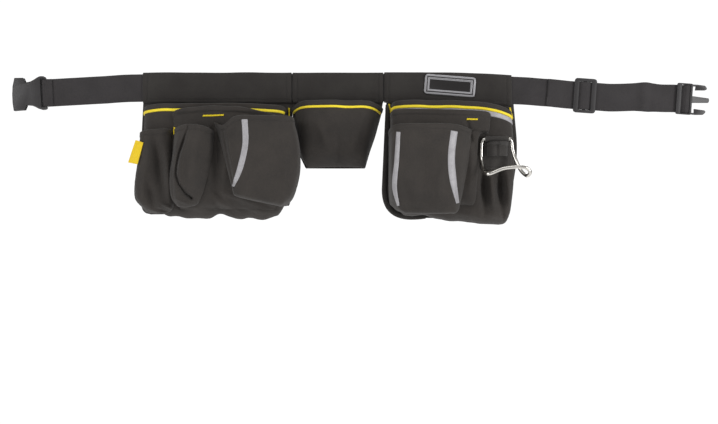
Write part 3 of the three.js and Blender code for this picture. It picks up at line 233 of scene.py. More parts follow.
# %% [markdown]
# ## Meshes from grids
# A piece of cloth is a grid of points. Its normals tell which way is out, and a second grid the
# cloth's thickness further in closes it into a thin solid with a rounded edge.

# %% Grids to closed cloth
def unit(ways):
    return ways / (np.linalg.norm(ways, axis=-1, keepdims=True) + 1e-9)

def circle(count):
    return np.linspace(0, 2 * math.pi, count + 1)[:-1]

def new_piece(name, points, faces, uv=None):
    """A closed piece with its faces outwards. A face with a repeated corner is a triangle."""
    a, b, c, d = (points[faces[:, n]] for n in range(4))
    if np.einsum("ij,ij->", a, np.cross(b, c) + np.cross(c, d)) < 0:
        faces = faces[:, ::-1]
    mesh = bpy.data.meshes.new(name)
    mesh.from_pydata((points * MM).tolist(), [], [list(dict.fromkeys(face)) for face in faces.tolist()])
    if uv is not None:
        layer = mesh.uv_layers.new(name="cloth")
        corner = np.empty(len(mesh.loops), int)
        mesh.loops.foreach_get("vertex_index", corner)
        layer.data.foreach_set("uv", (uv[corner] * MM).ravel())
    mesh.polygons.foreach_set("use_smooth", np.ones(len(mesh.polygons), bool))
    return placed(name, mesh)

def grid_normals(grid, judged=slice(None)):
    """Normals of a grid, turned so that its judged columns face the front."""
    normal = unit(np.cross(np.gradient(grid, axis=1), np.gradient(grid, axis=0)))
    return -normal if normal[:, judged, 1].sum() > 0 else normal

def grid_map(grid):
    """Lengths along the cloth, sideways from its middle and down from its edge."""
    side = np.linalg.norm(np.diff(grid, axis=1), axis=2)
    down = np.linalg.norm(np.diff(grid, axis=0), axis=2)
    u = np.concatenate([np.zeros((grid.shape[0], 1)), np.cumsum(side, axis=1)], axis=1)
    u -= u[:, [grid.shape[1] // 2]]
    v = np.concatenate([np.zeros((1, grid.shape[1])), np.cumsum(down, axis=0)], axis=0)
    return np.stack([u, v], axis=2)


def closed_cloth(name, outer, inner, wrap=False):
    """Two grids, face to face, joined round their border by a rounded edge."""
    rows, columns = outer.shape[:2]
    uv = grid_map(outer)
    middle = (outer + inner) / 2
    points = [outer.reshape(-1, 3), inner.reshape(-1, 3)]
    maps = [uv.reshape(-1, 2), uv.reshape(-1, 2)]
    index = np.arange(rows * columns).reshape(rows, columns)
    back = index + rows * columns

    def quads(ids, turned):
        a, b, c, d = ids[:-1, :-1], ids[:-1, 1:], ids[1:, 1:], ids[1:, :-1]
        order = (a, d, c, b) if turned else (a, b, c, d)
        return np.stack([o.ravel() for o in order], axis=1)

    faces = [quads(index, False), quads(back, True)]
    ring = np.concatenate([index[0, :-1], index[:-1, -1], index[-1, :0:-1], index[:0:-1, 0]])
    rims = [ring]
    if wrap:
        faces = []
        for ids, turned in ((index, False), (back, True)):
            joined = np.concatenate([ids, ids[:, :1]], axis=1)
            faces.append(quads(joined, turned))
        rims = [index[0], index[-1, ::-1]]
    flat = middle.reshape(-1, 3)
    half = np.linalg.norm(outer - inner, axis=2).reshape(-1) / 2
    total = 2 * rows * columns
    for loop in rims:
        row, column = loop // columns, loop % columns
        near = np.stack([np.clip(row, 1, rows - 2),
                         column if wrap else np.clip(column, 1, columns - 2)])
        edge = flat[loop] + unit(flat[loop] - middle[near[0], near[1]]) * half[loop][:, None] * 0.8
        ids = total + np.arange(len(loop))
        total += len(loop)
        points.append(edge)
        maps.append(uv.reshape(-1, 2)[loop])
        nxt = np.roll(np.arange(len(loop)), -1)
        faces.append(np.stack([loop[nxt], loop, ids, ids[nxt]], axis=1))
        other = loop + rows * columns
        faces.append(np.stack([ids[nxt], ids, other, other[nxt]], axis=1))
    return new_piece(name, np.concatenate(points), np.concatenate(faces), np.concatenate(maps))


def swept(name, rings):
    """Rings of points joined into a closed tube with flat ends."""
    count, sides = rings.shape[:2]
    index = np.arange(count * sides).reshape(count, sides)
    a, b = index[:-1], index[1:]
    faces = [np.stack([a, np.roll(a, -1, 1), np.roll(b, -1, 1), b], axis=2).reshape(-1, 4)]
    for end, ring in ((count * sides, index[0][::-1]), (count * sides + 1, index[-1])):
        middle = np.full(sides, end)
        faces.append(np.stack([ring, np.roll(ring, -1), middle, middle], axis=1))
    along, around = (np.concatenate([[0], np.cumsum(np.linalg.norm(np.diff(line, axis=0), axis=1))])
                     for line in (rings.mean(axis=1), rings[0]))
    uv = np.stack(np.meshgrid(along, around, indexing="ij"), axis=2).reshape(-1, 2)
    points = np.concatenate([rings.reshape(-1, 3), rings[:1].mean(1), rings[-1:].mean(1)])
    return new_piece(name, points, np.concatenate(faces), np.concatenate([uv, uv[:1], uv[-1:]]))

def dress(made, material, slot, *nodes):
    """Give a piece its finish, hide the model's solids that it stands for, and let it ride."""
    made.data.materials.clear()
    made.data.materials.append(material)
    if nodes:
        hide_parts(*nodes)
    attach(made, "root")
    print(made.name, len(made.data.polygons), "faces")


# %% Soft noise for folds
def smooth(t):
    t = np.clip(t, 0, 1)
    return t * t * (3 - 2 * t)


def hermite(t, start, leave, end, arrive):
    """A curve from start to end, with its slope at either."""
    return ((2 * t**3 - 3 * t**2 + 1) * start + (t**3 - 2 * t**2 + t) * leave
            + (3 * t**2 - 2 * t**3) * end + (t**3 - t**2) * arrive)

def arc(t, start, corner, end):
    """A soft bend between two straight lines that meet in a corner."""
    return (1 - t) ** 2 * start + 2 * t * (1 - t) * corner + t * t * end

def soft_noise(u, v, size, seed):
    """Smooth bumps about one size wide, the same on every run."""
    table = np.random.default_rng(seed).uniform(-1, 1, (64, 64))
    x, y = u / size + 500.3, v / size + 500.7
    i, j = np.floor(x).astype(int), np.floor(y).astype(int)
    s, t = x - i, y - j
    s, t = s * s * s * (s * (6 * s - 15) + 10), t * t * t * (t * (6 * t - 15) + 10)
    pick = lambda a, b: table[a % 64, b % 64]
    return ((pick(i, j) * (1 - s) + pick(i + 1, j) * s) * (1 - t)
            + (pick(i, j + 1) * (1 - s) + pick(i + 1, j + 1) * s) * t)


def crumple(u, v, seed, strength=1.0):
    """Large, middle and small softness of worn cloth, in millimetres."""
    return strength * (0.9 * soft_noise(u, v, 42, seed) + 0.45 * soft_noise(u, v, 19, seed + 1)
                       + 0.14 * soft_noise(u, v, 8, seed + 2))

# %% [markdown]
# ## The strap's line
# The strap is one ribbon that sinks a little towards both ends, as webbing does when it is held up by
# its middle. Its places are those of the model: where it turns round the buckles' bars, where the
# slider pinches it, and where its free tail ends.

# %% Sizes of strap, sleeves and hardware
GAP = 0.3
WEBBING_WIDTH, WEBBING_THICK = 40.0, 1.6
PANEL_THICK = 3.0
MIDDLE_LEFT, MIDDLE_RIGHT = -65.2, 65.2
LEFT_LEFT, LEFT_RIGHT = -282.4, -67.8
RIGHT_LEFT, RIGHT_RIGHT = 67.8, 251.4
LEFT_WIDE, RIGHT_WIDE = LEFT_RIGHT - LEFT_LEFT, RIGHT_RIGHT - RIGHT_LEFT
LEFT_RUN, RIGHT_RUN, TAIL_RUN = 143.4, 252.6, 55.4
FEMALE_X, SLIDER_X, MALE_X = -425.8, 357.8, 504.0
SLIDER_LONG, SLIDER_BAR, BUCKLE_BAR, SLEEVE_WALL = 32.5, 7.2, 3.2, 1.6
STRAP_OUT = PANEL_THICK + GAP + WEBBING_THICK / 2
LAYER_STEP = WEBBING_THICK + GAP
TURN_RADIUS = (BUCKLE_BAR + WEBBING_THICK) / 2 + GAP
TURN_OUT = STRAP_OUT + TURN_RADIUS
FRONT_LAYER = STRAP_OUT + LAYER_STEP
CHANNEL_HALF = WEBBING_WIDTH / 2 + 0.5
SLEEVE_FRONT = PANEL_THICK + 2 * GAP + WEBBING_THICK + SLEEVE_WALL
SEATS = {"female": (FEMALE_X, -8.0, 3.2, 25), "slider": (SLIDER_X, -12.0, -4.0, 20),
         "male": (MALE_X, -16.8, -4.0, 14)}


def strap_knots():
    knots = []
    for x, z, lean, reach in SEATS.values():
        slope = math.tan(math.radians(lean))
        knots += [(x - reach, z - reach * slope, lean), (x + reach, z + reach * slope, lean)]
    for along, sink, lean in ((0.44, 0.09, 2.8), (0.13, 0.02, 1.2)):
        knots.append((LEFT_LEFT - along * LEFT_RUN, -sink * WEBBING_WIDTH, lean))
    knots.append((LEFT_LEFT + 0.3 * LEFT_WIDE, 0.0, 0.0))
    knots.append((RIGHT_LEFT + 0.55 * RIGHT_WIDE, 0.0, 0.0))
    for along, sink, lean in ((0.05, 0.11, -2.2), (0.2, 0.18, -3.5), (0.57, 0.365, -0.5),
                              (0.74, 0.34, 0.0), (0.86, 0.385, -3.0)):
        knots.append((RIGHT_RIGHT + along * RIGHT_RUN, -sink * WEBBING_WIDTH, lean))
    return sorted(knots)


KNOTS = np.array(strap_knots())


def strap_line(x):
    """Height and slope of the strap's centre line at x."""
    x = np.asarray(x, float)
    i = np.clip(np.searchsorted(KNOTS[:, 0], x), 1, len(KNOTS) - 1)
    x0, z0, a0 = KNOTS[i - 1].T
    x1, z1, a1 = KNOTS[i].T
    span = x1 - x0
    t = (x - x0) / span
    m0, m1 = np.tan(np.radians(a0)) * span, np.tan(np.radians(a1)) * span
    z = hermite(t, z0, m0, z1, m1)
    slope = ((6 * t**2 - 6 * t) * z0 + (3 * t**2 - 4 * t + 1) * m0
             + (6 * t - 6 * t**2) * z1 + (3 * t**2 - 2 * t) * m1) / span
    z = np.where(t < 0, z0 + t * m0, np.where(t > 1, z1 + (t - 1) * m1, z))
    slope = np.where(t < 0, m0 / span, np.where(t > 1, m1 / span, slope))
    return z, slope


def slider_rise(x):
    reach = SLIDER_LONG / 2 - SLIDER_BAR
    return 1.8 * smooth(1.6 * (1 - np.abs(x - SLIDER_X) / reach))


print("strap knots:", len(KNOTS))

# %% [markdown]
# ## Webbing
# Webbing is a flat woven strip whose two edges are slightly rounded. It is swept along its route as a
# ring of points: stitched end, bar of the socket, three sleeves, slider, bar of the plug, and back on
# itself to the tail. Soft waves across the ribbon come from how it was folded in its bag.

# %% Webbing mesh
def strap_route():
    route = [(x, FRONT_LAYER) for x in np.linspace(FEMALE_X + 12, FEMALE_X + 8, 6)]
    for at in np.linspace(-math.radians(20), math.pi, 28):
        route.append((FEMALE_X - TURN_RADIUS * math.sin(at), TURN_OUT + TURN_RADIUS * math.cos(at)))
    back = np.arange(FEMALE_X + 3, MALE_X - 2.5, 2.2)
    route += [(x, STRAP_OUT + slider_rise(x)) for x in back]
    for at in np.linspace(0, math.pi + math.radians(35), 30):
        loose = 3.0 * math.sin(min(at, math.pi)) + 0.3
        route.append((MALE_X + loose + TURN_RADIUS * math.sin(at), TURN_OUT - TURN_RADIUS * math.cos(at)))
    for x in np.arange(MALE_X - 7, SLIDER_X - TAIL_RUN, -2.2):
        route.append((x, FRONT_LAYER + slider_rise(x)))
    return np.array(route)


def webbing():
    route = strap_route()
    x, out = route.T
    z, slope = strap_line(x)
    lean = np.arctan(slope)
    step = unit(np.gradient(route, axis=0))
    normal = np.stack([-step[:, 1] * np.cos(lean), -step[:, 0], -step[:, 1] * np.sin(lean)], 1)
    across = np.stack([-np.sin(lean), np.zeros_like(lean), np.cos(lean)], 1)
    half, deep = WEBBING_WIDTH / 2, WEBBING_THICK / 2
    side = np.concatenate([[-half], -half + deep * (1 - np.cos(np.linspace(0.5, 1.5, 3))) * 0.9,
                           np.linspace(-half + 2, half - 2, 15),
                           half - deep * (1 - np.cos(np.linspace(1.5, 0.5, 3))) * 0.9, [half]])
    roll = np.sqrt(np.clip(1 - np.clip((np.abs(side) - half + deep) / deep, 0, 1) ** 2, 0.04, 1))
    ring = np.concatenate([np.stack([side, roll * deep], 1), np.stack([side[::-1], -roll[::-1] * deep], 1)])
    free = np.clip((x - RIGHT_RIGHT - 6) / 20, 0, 1) + np.clip((LEFT_LEFT - 8 - x) / 20, 0, 1)
    for seat in (FEMALE_X, SLIDER_X, MALE_X):
        free *= np.clip((np.abs(x - seat) - 18) / 16, 0, 1)
    flat = ring[None, :, :1]
    wave = free[:, None] * (1.3 * soft_noise(x[:, None], ring[None, :, 0], 34, 5)
                            + 0.35 * soft_noise(x[:, None], ring[None, :, 0] * 0.5, 13, 6))
    fold = free * 2.6 * np.exp(-((x - 444) / 7) ** 2) - free * 1.6 * np.exp(-((x - 459) / 8) ** 2)
    bulge = free * 1.3 * np.exp(-((x - 446) / 12) ** 2)
    wider = flat + np.sign(flat) * bulge[:, None, None] * (np.abs(flat) > 15)
    sunk = np.abs(wave) + np.maximum(fold, -0.6)[:, None]
    centre = np.stack([x, -out, z], 1)
    rings = (centre[:, None] + across[:, None] * wider + normal[:, None] * ring[None, :, 1:]
             - np.array([0, 1, 0]) * sunk[..., None])
    return swept("belt_webbing_cloth", rings)


dress(webbing(), strap_webbing, "strap", "belt_webbing")

# %% [markdown]
# ## Panels and sleeves
# A panel is backing cloth with a tube of cloth along its top, through which the strap runs. The tube
# is padded, so its front is slightly crowned and its folded edges are round. The backing is a thick
# sheet with its own outline, and its edge is bound on the panel that shows its corner.

# %% Sleeve tube
def sleeve_rings(left, right, seed):
    turn = circle(96)
    power = 5.0
    c, s = np.cos(turn), np.sin(turn)
    size = (np.abs(c) ** power + np.abs(s) ** power) ** (-1 / power)
    height = s * size * (CHANNEL_HALF + SLEEVE_WALL)
    depth = (c * size + 1) / 2
    xs = np.linspace(left, right, 130)
    z, _ = strap_line(xs)
    u, v = np.meshgrid(xs, height, indexing="ij")
    front = SLEEVE_FRONT + 1.4 * (1 - (v / 24) ** 2) + 0.9 * soft_noise(u, v, 30, seed)
    front += 0.25 * soft_noise(u, v, 11, seed + 3)
    pucker = 0.3 * np.sin(u / 2.1) * np.exp(-((v + 19.5) / 2.5) ** 2)
    near = np.minimum(u - left, right - u)
    seam = 0.9 * np.exp(-((near - 6.5) / 0.8) ** 2) + 0.7 * np.exp(-((v + 17.5) / 0.8) ** 2)
    front = SLEEVE_FRONT + (front - SLEEVE_FRONT + pucker - seam) * (0.3 + 0.7 * smooth(near / 4))
    out = depth[None] * front
    outer = np.stack([u, -out, v + z[:, None] + 0.5 * soft_noise(u, 0 * v, 40, seed + 5)], axis=2)
    inner_out = np.clip(out, PANEL_THICK, SLEEVE_FRONT - SLEEVE_WALL)
    inner_height = np.clip(v, -CHANNEL_HALF, CHANNEL_HALF)
    inner = np.stack([u, -inner_out, inner_height + z[:, None]], axis=2)
    return outer, inner


def rounded_outline(corners, steps=14):
    """Corners x, z, round: straight sides joined by soft bends."""
    points = []
    count = len(corners)
    for n, (x, z, bend) in enumerate(corners):
        here = np.array([x, z])
        ends = []
        for other in (corners[n - 1], corners[(n + 1) % count]):
            way = np.array(other[:2]) - here
            ends.append(here + unit(way) * bend)
        for t in np.linspace(0, 1, steps):
            points.append(arc(t, ends[0], here, ends[1]))
    return np.array(points)


def backing(outline, seed, rows=110, columns=100):
    """The sheet behind the pouches, row by row between the two sides of its outline."""
    z = np.linspace(outline[:, 1].max() - 0.05, outline[:, 1].min() + 0.05, rows)
    nxt = np.roll(outline, -1, axis=0)
    low, high = np.minimum(outline[:, 1], nxt[:, 1]), np.maximum(outline[:, 1], nxt[:, 1])
    sides = []
    for level in z:
        cut = (low <= level) & (high >= level) & (high - low > 1e-6)
        share = (level - outline[cut, 1]) / (nxt[cut, 1] - outline[cut, 1])
        crossing = outline[cut, 0] + share * (nxt[cut, 0] - outline[cut, 0])
        sides.append((crossing.min(), crossing.max()))
    sides = np.array(sides)
    share = np.linspace(0, 1, columns)[None]
    x = sides[:, :1] * (1 - share) + sides[:, 1:] * share
    z = np.repeat(z[:, None], columns, axis=1)
    edge = np.minimum(np.minimum(x - sides[:, :1], sides[:, 1:] - x), z - z.min())
    puff = PANEL_THICK / 2 * (0.45 + 0.55 * np.clip(edge / 3, 0, 1) ** 0.5)
    groove = 0.5 * np.exp(-((edge - 5) / 0.9) ** 2)
    wave = 0.25 * soft_noise(x, z, 28, seed) * np.clip(edge / 12, 0, 1)
    front = PANEL_THICK / 2 + puff - groove
    back = PANEL_THICK / 2 - puff + groove + np.abs(wave)
    return np.stack([x, -front, z], axis=2), np.stack([x, -back, z], axis=2)


def panel(node, left, right, corners, seed):
    tube = closed_cloth(node + "_sleeve", *sleeve_rings(left, right, seed), wrap=True)
    sheet = closed_cloth(node + "_cloth", *backing(rounded_outline(corners), seed + 30))
    bpy.ops.object.select_all(action="DESELECT")
    tube.select_set(True)
    sheet.select_set(True)
    bpy.context.view_layer.objects.active = sheet
    bpy.ops.object.join()
    dress(sheet, sleeve_cloth, "sleeve", node)


# %% Three panels
BACKING_TOP = -CHANNEL_HALF + 2
LEFT_DROP, MIDDLE_DROP, RIGHT_DROP = 184.0, 117.0, 190.0
RIGHT_EDGE, EDGE_SLANT, EDGE_CORNER = RIGHT_LEFT - 2.5, 5.6, 42.0
panel("left_panel", LEFT_LEFT, LEFT_RIGHT, [
    (LEFT_LEFT, BACKING_TOP, 0.5), (LEFT_LEFT - 6.5, -0.8 * LEFT_DROP, 18),
    (LEFT_LEFT - 1, -LEFT_DROP, 13), (LEFT_RIGHT - 16, -LEFT_DROP + 1, 26),
    (LEFT_RIGHT + 5, -0.75 * LEFT_DROP, 18), (LEFT_RIGHT, BACKING_TOP, 0.5)], 11)
panel("middle_panel", MIDDLE_LEFT, MIDDLE_RIGHT, [
    (MIDDLE_LEFT - 1.9, BACKING_TOP, 0.5), (MIDDLE_LEFT + 1, -0.51 * MIDDLE_DROP, 10),
    (MIDDLE_LEFT + 7, -0.79 * MIDDLE_DROP, 8), (MIDDLE_LEFT + 18.8, -MIDDLE_DROP, 1),
    (MIDDLE_LEFT + 28, -MIDDLE_DROP + 1.8, 6), (MIDDLE_RIGHT - 35, -MIDDLE_DROP + 2, 6),
    (MIDDLE_RIGHT - 26.2, -MIDDLE_DROP, 1), (MIDDLE_RIGHT - 19, -0.79 * MIDDLE_DROP, 8),
    (MIDDLE_RIGHT - 11, -0.6 * MIDDLE_DROP, 10), (MIDDLE_RIGHT - 2.2, -0.3 * MIDDLE_DROP, 14),
    (MIDDLE_RIGHT, BACKING_TOP, 0.5)], 12)
panel("right_panel", RIGHT_LEFT, RIGHT_RIGHT, [
    (RIGHT_EDGE + EDGE_SLANT, BACKING_TOP, 0.5), (RIGHT_EDGE, -RIGHT_DROP, EDGE_CORNER),
    (RIGHT_LEFT + 0.24 * RIGHT_WIDE, -RIGHT_DROP, 3), (RIGHT_LEFT + 0.34 * RIGHT_WIDE, -RIGHT_DROP + 6, 6),
    (RIGHT_RIGHT - 6, -RIGHT_DROP - 5, 18), (RIGHT_RIGHT + 10, -0.5 * RIGHT_DROP, 30),
    (RIGHT_RIGHT + 3, BACKING_TOP, 0.5)], 13)

# %% [markdown]
# ## What already lies there
# Pockets are sewn on pouches, and pouches on panels. A relief map remembers how far out the belt is
# at every place seen from the front. Each new piece is seated on that map and then pressed into it,
# so no layer cuts through the one behind it.

# %% Relief map
CELL = 0.75
MAP_LEFT, MAP_FOOT = -320.0, -230.0
relief = np.full((int(640 / CELL), int(270 / CELL)), PANEL_THICK)


def finer(grid, times=4):
    for axis in (0, 1):
        count = grid.shape[axis]
        at = np.linspace(0, count - 1, (count - 1) * times + 1)
        i = np.minimum(at.astype(int), count - 2)
        t = (at - i).reshape((-1, 1, 1) if axis == 0 else (1, -1, 1))
        grid = np.take(grid, i, axis) * (1 - t) + np.take(grid, i + 1, axis) * t
    return grid


def press(grid):
    fine = finer(grid).reshape(-1, 3)
    i = np.clip(np.rint((fine[:, 0] - MAP_LEFT) / CELL).astype(int), 0, relief.shape[0] - 1)
    j = np.clip(np.rint((fine[:, 2] - MAP_FOOT) / CELL).astype(int), 0, relief.shape[1] - 1)
    np.maximum.at(relief, (i, j), -fine[:, 1])


def seat_map(reach=2.3, soft=1.5):
    wide = relief
    for width, gather in ((reach, np.max), (soft, np.mean)):
        steps = int(round(width / CELL))
        for axis in (0, 1):
            wide = gather([np.roll(wide, s, axis) for s in range(-steps, steps + 1)], axis=0)
    return wide


def look(field, x, z):
    x, z = (x - MAP_LEFT) / CELL, (z - MAP_FOOT) / CELL
    i = np.clip(np.floor(x).astype(int), 0, field.shape[0] - 2)
    j = np.clip(np.floor(z).astype(int), 0, field.shape[1] - 2)
    s, t = np.clip(x - i, 0, 1), np.clip(z - j, 0, 1)
    return ((field[i, j] * (1 - s) + field[i + 1, j] * s) * (1 - t)
            + (field[i, j + 1] * (1 - s) + field[i + 1, j + 1] * s) * t)


print("relief map", relief.shape)

# %% [markdown]
# ## Pouches and pockets
# Each pouch is a scoop of cloth sewn to what is behind it along its sides and foot. A table gives,
# row by row down the pouch, how wide and how deep it is there. On top of that shape come the things
# that make cloth look like cloth: a doubled hem with its row of stitches, raised seams at the corners,
# long creases that fall from the rim, tucks at the foot, and a soft unevenness everywhere.

# %% Pouch maker
COLUMNS = ("down", "left", "right", "deep", "slant_left", "slant_right", "lower", "belly")
WALL, HEM_TALL, HEM_EXTRA = 1.6, 7.0, 0.8


def through(values, t):
    values = np.asarray(values, float)
    last = len(values) - 1
    i = np.clip(np.floor(t).astype(int), 0, last - 1)
    s = t - i
    before, start = values[np.maximum(i - 1, 0)], values[i]
    end, after = values[i + 1], values[np.minimum(i + 2, last)]
    pull, leave = (end - before) / 2, (after - start) / 2
    return hermite(s, start, pull, end, leave)


def creases_at(creases, x, z):
    """Each crease: x, z, turn from upright in degrees, half length, half width, height."""
    total = np.zeros_like(x)
    for cx, cz, turn, long, wide, high in creases:
        c, s = math.cos(math.radians(turn)), math.sin(math.radians(turn))
        along, side = (z - cz) * c - (x - cx) * s, (x - cx) * c + (z - cz) * s
        total += high * np.exp(-(along / long) ** 2 - (side / wide) ** 2)
    return total


def seams_at(seams, x, z):
    """Each seam: a path of places, half width, height; a groove has a height below nothing."""
    total = np.zeros_like(x)
    for path, wide, high in seams:
        near = np.full_like(x, 1e9)
        for (ax, az), (bx, bz) in zip(path[:-1], path[1:]):
            along = ((x - ax) * (bx - ax) + (z - az) * (bz - az)) / ((bx - ax) ** 2 + (bz - az) ** 2)
            along = np.clip(along, 0, 1)
            near = np.minimum(near, np.hypot(x - ax - along * (bx - ax), z - az - along * (bz - az)))
        total += high * np.exp(-(near / wide) ** 2)
    return total


def pouch(name, left, rim, width, height, depth, rows, square=3.0, crown=0.0, play=0.5, hugging=False,
          folds=(), sags=(), dips=(), creases=(), seams=(), welts=(), soft=1.0, seed=1, foot=0.0,
          hem=True, level=None, mesh=(150, 170)):
    columns = {key: [row[n] if n < len(row) else 0.0 for row in rows] for n, key in enumerate(COLUMNS)}
    field = seat_map()
    t = np.linspace(0, len(rows) - 1, mesh[0])
    side = np.linspace(-1, 1, mesh[1])
    angle = np.pi / 2 - np.pi / 2 * np.sign(side) * np.abs(side) ** 1.35
    t, angle = np.meshgrid(t, angle, indexing="ij")
    read = {key: through(value, t) for key, value in columns.items()}
    c, s = np.cos(angle), np.sin(angle)
    radius = (np.abs(c) ** square + np.abs(s) ** square) ** (-1 / square)
    across, forward = c * radius, np.maximum(s * radius, 0)
    lean = read["slant_left"] * (1 - across) / 2 - read["slant_right"] * (1 + across) / 2
    left_edge, right_edge = left + read["left"] * width, left + read["right"] * width
    x = left_edge + (right_edge - left_edge) * (1 + across) / 2 + forward * lean * width
    down = read["down"]
    hang = read["lower"] * (1 + across) / 2 + read["belly"] * forward
    z = rim - (down + hang) * height + crown * forward * np.maximum(1 - down, 0) ** 2
    for sag_across, wide, drop in sags:
        z -= height * drop * np.exp(-((x - left - sag_across * width) / (wide * width)) ** 2) * down ** 4
    for dip_x, wide, drop in dips:
        z -= drop * np.exp(-((x - dip_x) / wide) ** 2) * np.maximum(1 - down, 0) ** 1.5
    z += 0.7 * soft_noise(x, 0 * x, 24, seed + 9) * np.maximum(1 - 3 * down, 0)
    z += foot * soft_noise(x, 0 * x, 15, seed + 8) * smooth((down - 0.7) / 0.25)
    swell = np.ones_like(x)
    for fold_across, fold_down, wide, tall, push in folds:
        swell += push * np.exp(-((x - left - fold_across * width) / (wide * width)) ** 2
                               - ((rim - z - fold_down * height) / (tall * height)) ** 2)
    seat = look(field, x, z) if level is None else np.full_like(x, level)
    reach = depth if hugging else depth - seat
    cloth = np.maximum(read["deep"] * reach * swell, 0)
    detail = creases_at(creases, x, z) + seams_at(seams, x, z) + soft * crumple(x, z, seed)
    detail *= smooth(forward * 1.6) * (0.35 + 0.65 * smooth(down * 4))
    out = seat + play + np.maximum(forward * cloth + detail, 0.15 * forward)
    grid = np.stack([x, -out, z], axis=2)
    normal = grid_normals(grid)
    lengths = np.concatenate([np.zeros((1, mesh[1])), np.cumsum(
        np.linalg.norm(np.diff(grid, axis=0), axis=2), axis=0)])
    run = np.cumsum(np.concatenate([np.zeros((mesh[0], 1)), np.linalg.norm(
        np.diff(grid, axis=1), axis=2)], axis=1), axis=1)
    rise = np.zeros_like(x)
    for at, wide, high, start in welts:
        ridge = np.exp(-((np.degrees(angle) - at) / wide) ** 2)
        rise += high * ridge * smooth((down - start) / 0.06)
    thick = np.full_like(x, WALL)
    if hem:
        band = smooth((HEM_TALL - lengths) / 0.8)
        stitch = np.exp(-((lengths - HEM_TALL + 1.2) / 0.55) ** 2)
        rise += HEM_EXTRA * band - stitch * (0.45 + 0.18 * np.sin(2 * np.pi * run / 3.2))
        thick += HEM_EXTRA * band
    rise += 0.12 * soft_noise(run, lengths, 3.5, seed + 21)
    outer = grid + normal * rise[..., None]
    press(outer)
    made = closed_cloth(name, outer, outer - normal * thick[..., None])
    return {"piece": made, "outer": outer, "normal": normal, "lengths": lengths,
            "left": left, "rim": rim, "width": width, "height": height}


POUCHES = {}
SLEEVES = ((LEFT_LEFT, LEFT_RIGHT, 11), (MIDDLE_LEFT, MIDDLE_RIGHT, 12), (RIGHT_LEFT, RIGHT_RIGHT, 13))
for sleeve in SLEEVES:
    press(sleeve_rings(*sleeve)[0])


def sew(node, **shape):
    made = pouch(node + "_cloth", **shape)
    dress(made["piece"], pouch_cloth, "cloth", node)
    POUCHES[node] = made


# %% Tapes that lie on a pouch
def along_pouch(made, column, drops, key):
    """Values of one column of a pouch at given lengths below its rim."""
    return np.stack([np.interp(drops, made["lengths"][:, column], made[key][:, column, k])
                     for k in range(3)], axis=1)


def columns_of(made, first, last):
    count = made["outer"].shape[1] - 1
    return range(int(first * count), int(last * count) + 1)

def rim_tape(node, made, first, last, under, tall, thick, material=yellow_tape, slot="piping"):
    """A tape sewn below the rim: rounded across, its lower side sunk a little into the cloth."""
    ids = columns_of(made, first, last)
    share = np.linspace(0, 1, 11)
    profile = np.clip(1 - np.abs(2 * share - 1) ** 3.5, 0, 1) ** 0.5
    lead = np.linspace(0, 1, len(ids))
    spots, ways = (np.stack([along_pouch(made, n, under + share * tall, key) for n in ids], axis=1)
                   for key in ("outer", "normal"))
    ends = smooth(np.minimum(lead, 1 - lead) * 40)
    high = 0.15 + thick * profile[:, None] * (0.3 + 0.7 * ends[None])
    high += 0.08 * np.sin(np.arange(len(ids)) * 2.1)[None] * profile[:, None]
    outer = spots + ways * high[..., None]
    press(outer)
    dress(closed_cloth(node + "_tape", outer, spots - ways * 0.5), material, slot, node)

def front_stripe(node, made, width, places, steps=70):
    """A reflective stripe down the front of a pouch: places are across, down and width share."""
    t = np.linspace(0, len(places) - 1, steps)
    across, down, wide = (through([p[k] for p in places], t) for k in range(3))
    centre = np.stack([made["left"] + across * made["width"], made["rim"] - down * made["height"]], 1)
    way = unit(np.gradient(centre, axis=0))
    side = np.linspace(-0.5, 0.5, 11)[None, :] * (width * wide)[:, None]
    x = centre[:, :1] - way[:, 1:] * side
    z = centre[:, 1:] + way[:, :1] * side
    seat = look(seat_map(0.8, 1.5), x, z)
    profile = np.clip(1 - np.abs(np.linspace(-1, 1, 11)) ** 6, 0, 1)[None] ** 0.5
    ends = np.clip(np.minimum(np.arange(steps), np.arange(steps)[::-1]), 0, 1)[:, None]
    outer = np.stack([x, -(seat + 0.1 + 0.6 * profile * (0.4 + 0.6 * ends)), z], axis=2)
    inner = np.stack([x, -(seat - 0.8), z], axis=2)
    press(outer)
    dress(closed_cloth(node + "_tape", outer, inner), bead_tape, "reflective", node)


# %% Left cluster
LEFT_MAIN, LEFT_MAIN_WIDE, LEFT_FRONT_WIDE = LEFT_LEFT + 4, 203.5, 106
sew("left_main_pouch", left=LEFT_MAIN, rim=-33, width=LEFT_MAIN_WIDE, height=150,
    depth=53, square=3.4, crown=5.5, seed=31, soft=1.6, foot=2.4, rows=[
        (0, 0, 1, 0.98), (0.25, -0.005, 1.005, 0.97), (0.5, -0.012, 1.015, 1),
        (0.76, -0.022, 1.015, 1.02), (0.9, 0.01, 0.985, 0.93, 0, 0, 0.01, 0.02),
        (0.965, 0.04, 0.95, 0.5, 0, 0, 0.01, 0.07), (0.97, 0.055, 0.935, 0, 0, 0, 0.01)],
    folds=[(0.62, 0.9, 0.1, 0.14, -0.14), (0.3, 0.86, 0.06, 0.2, -0.1)],
    sags=[(0.08, 0.09, -0.06), (0.55, 0.06, -0.035), (0.86, 0.09, 0.03)],
    creases=[(-150, -172, 60, 16, 4, 3.0), (-205, -173, 80, 18, 4, 3.2), (-226, -170, 50, 10, 3.5, -4),
             (-172, -168, 20, 12, 4, -3.5), (-120, -176, 75, 20, 4, 2.5), (-100, -170, 70, 18, 3.5, -3),
             (-70, -160, 30, 14, 4, 2.5), (-265, -168, 12, 14, 4, -3)])
rim_tape("left_main_piping", POUCHES["left_main_pouch"], 0.05, 0.905, 6.2, 4.0, 1.3)
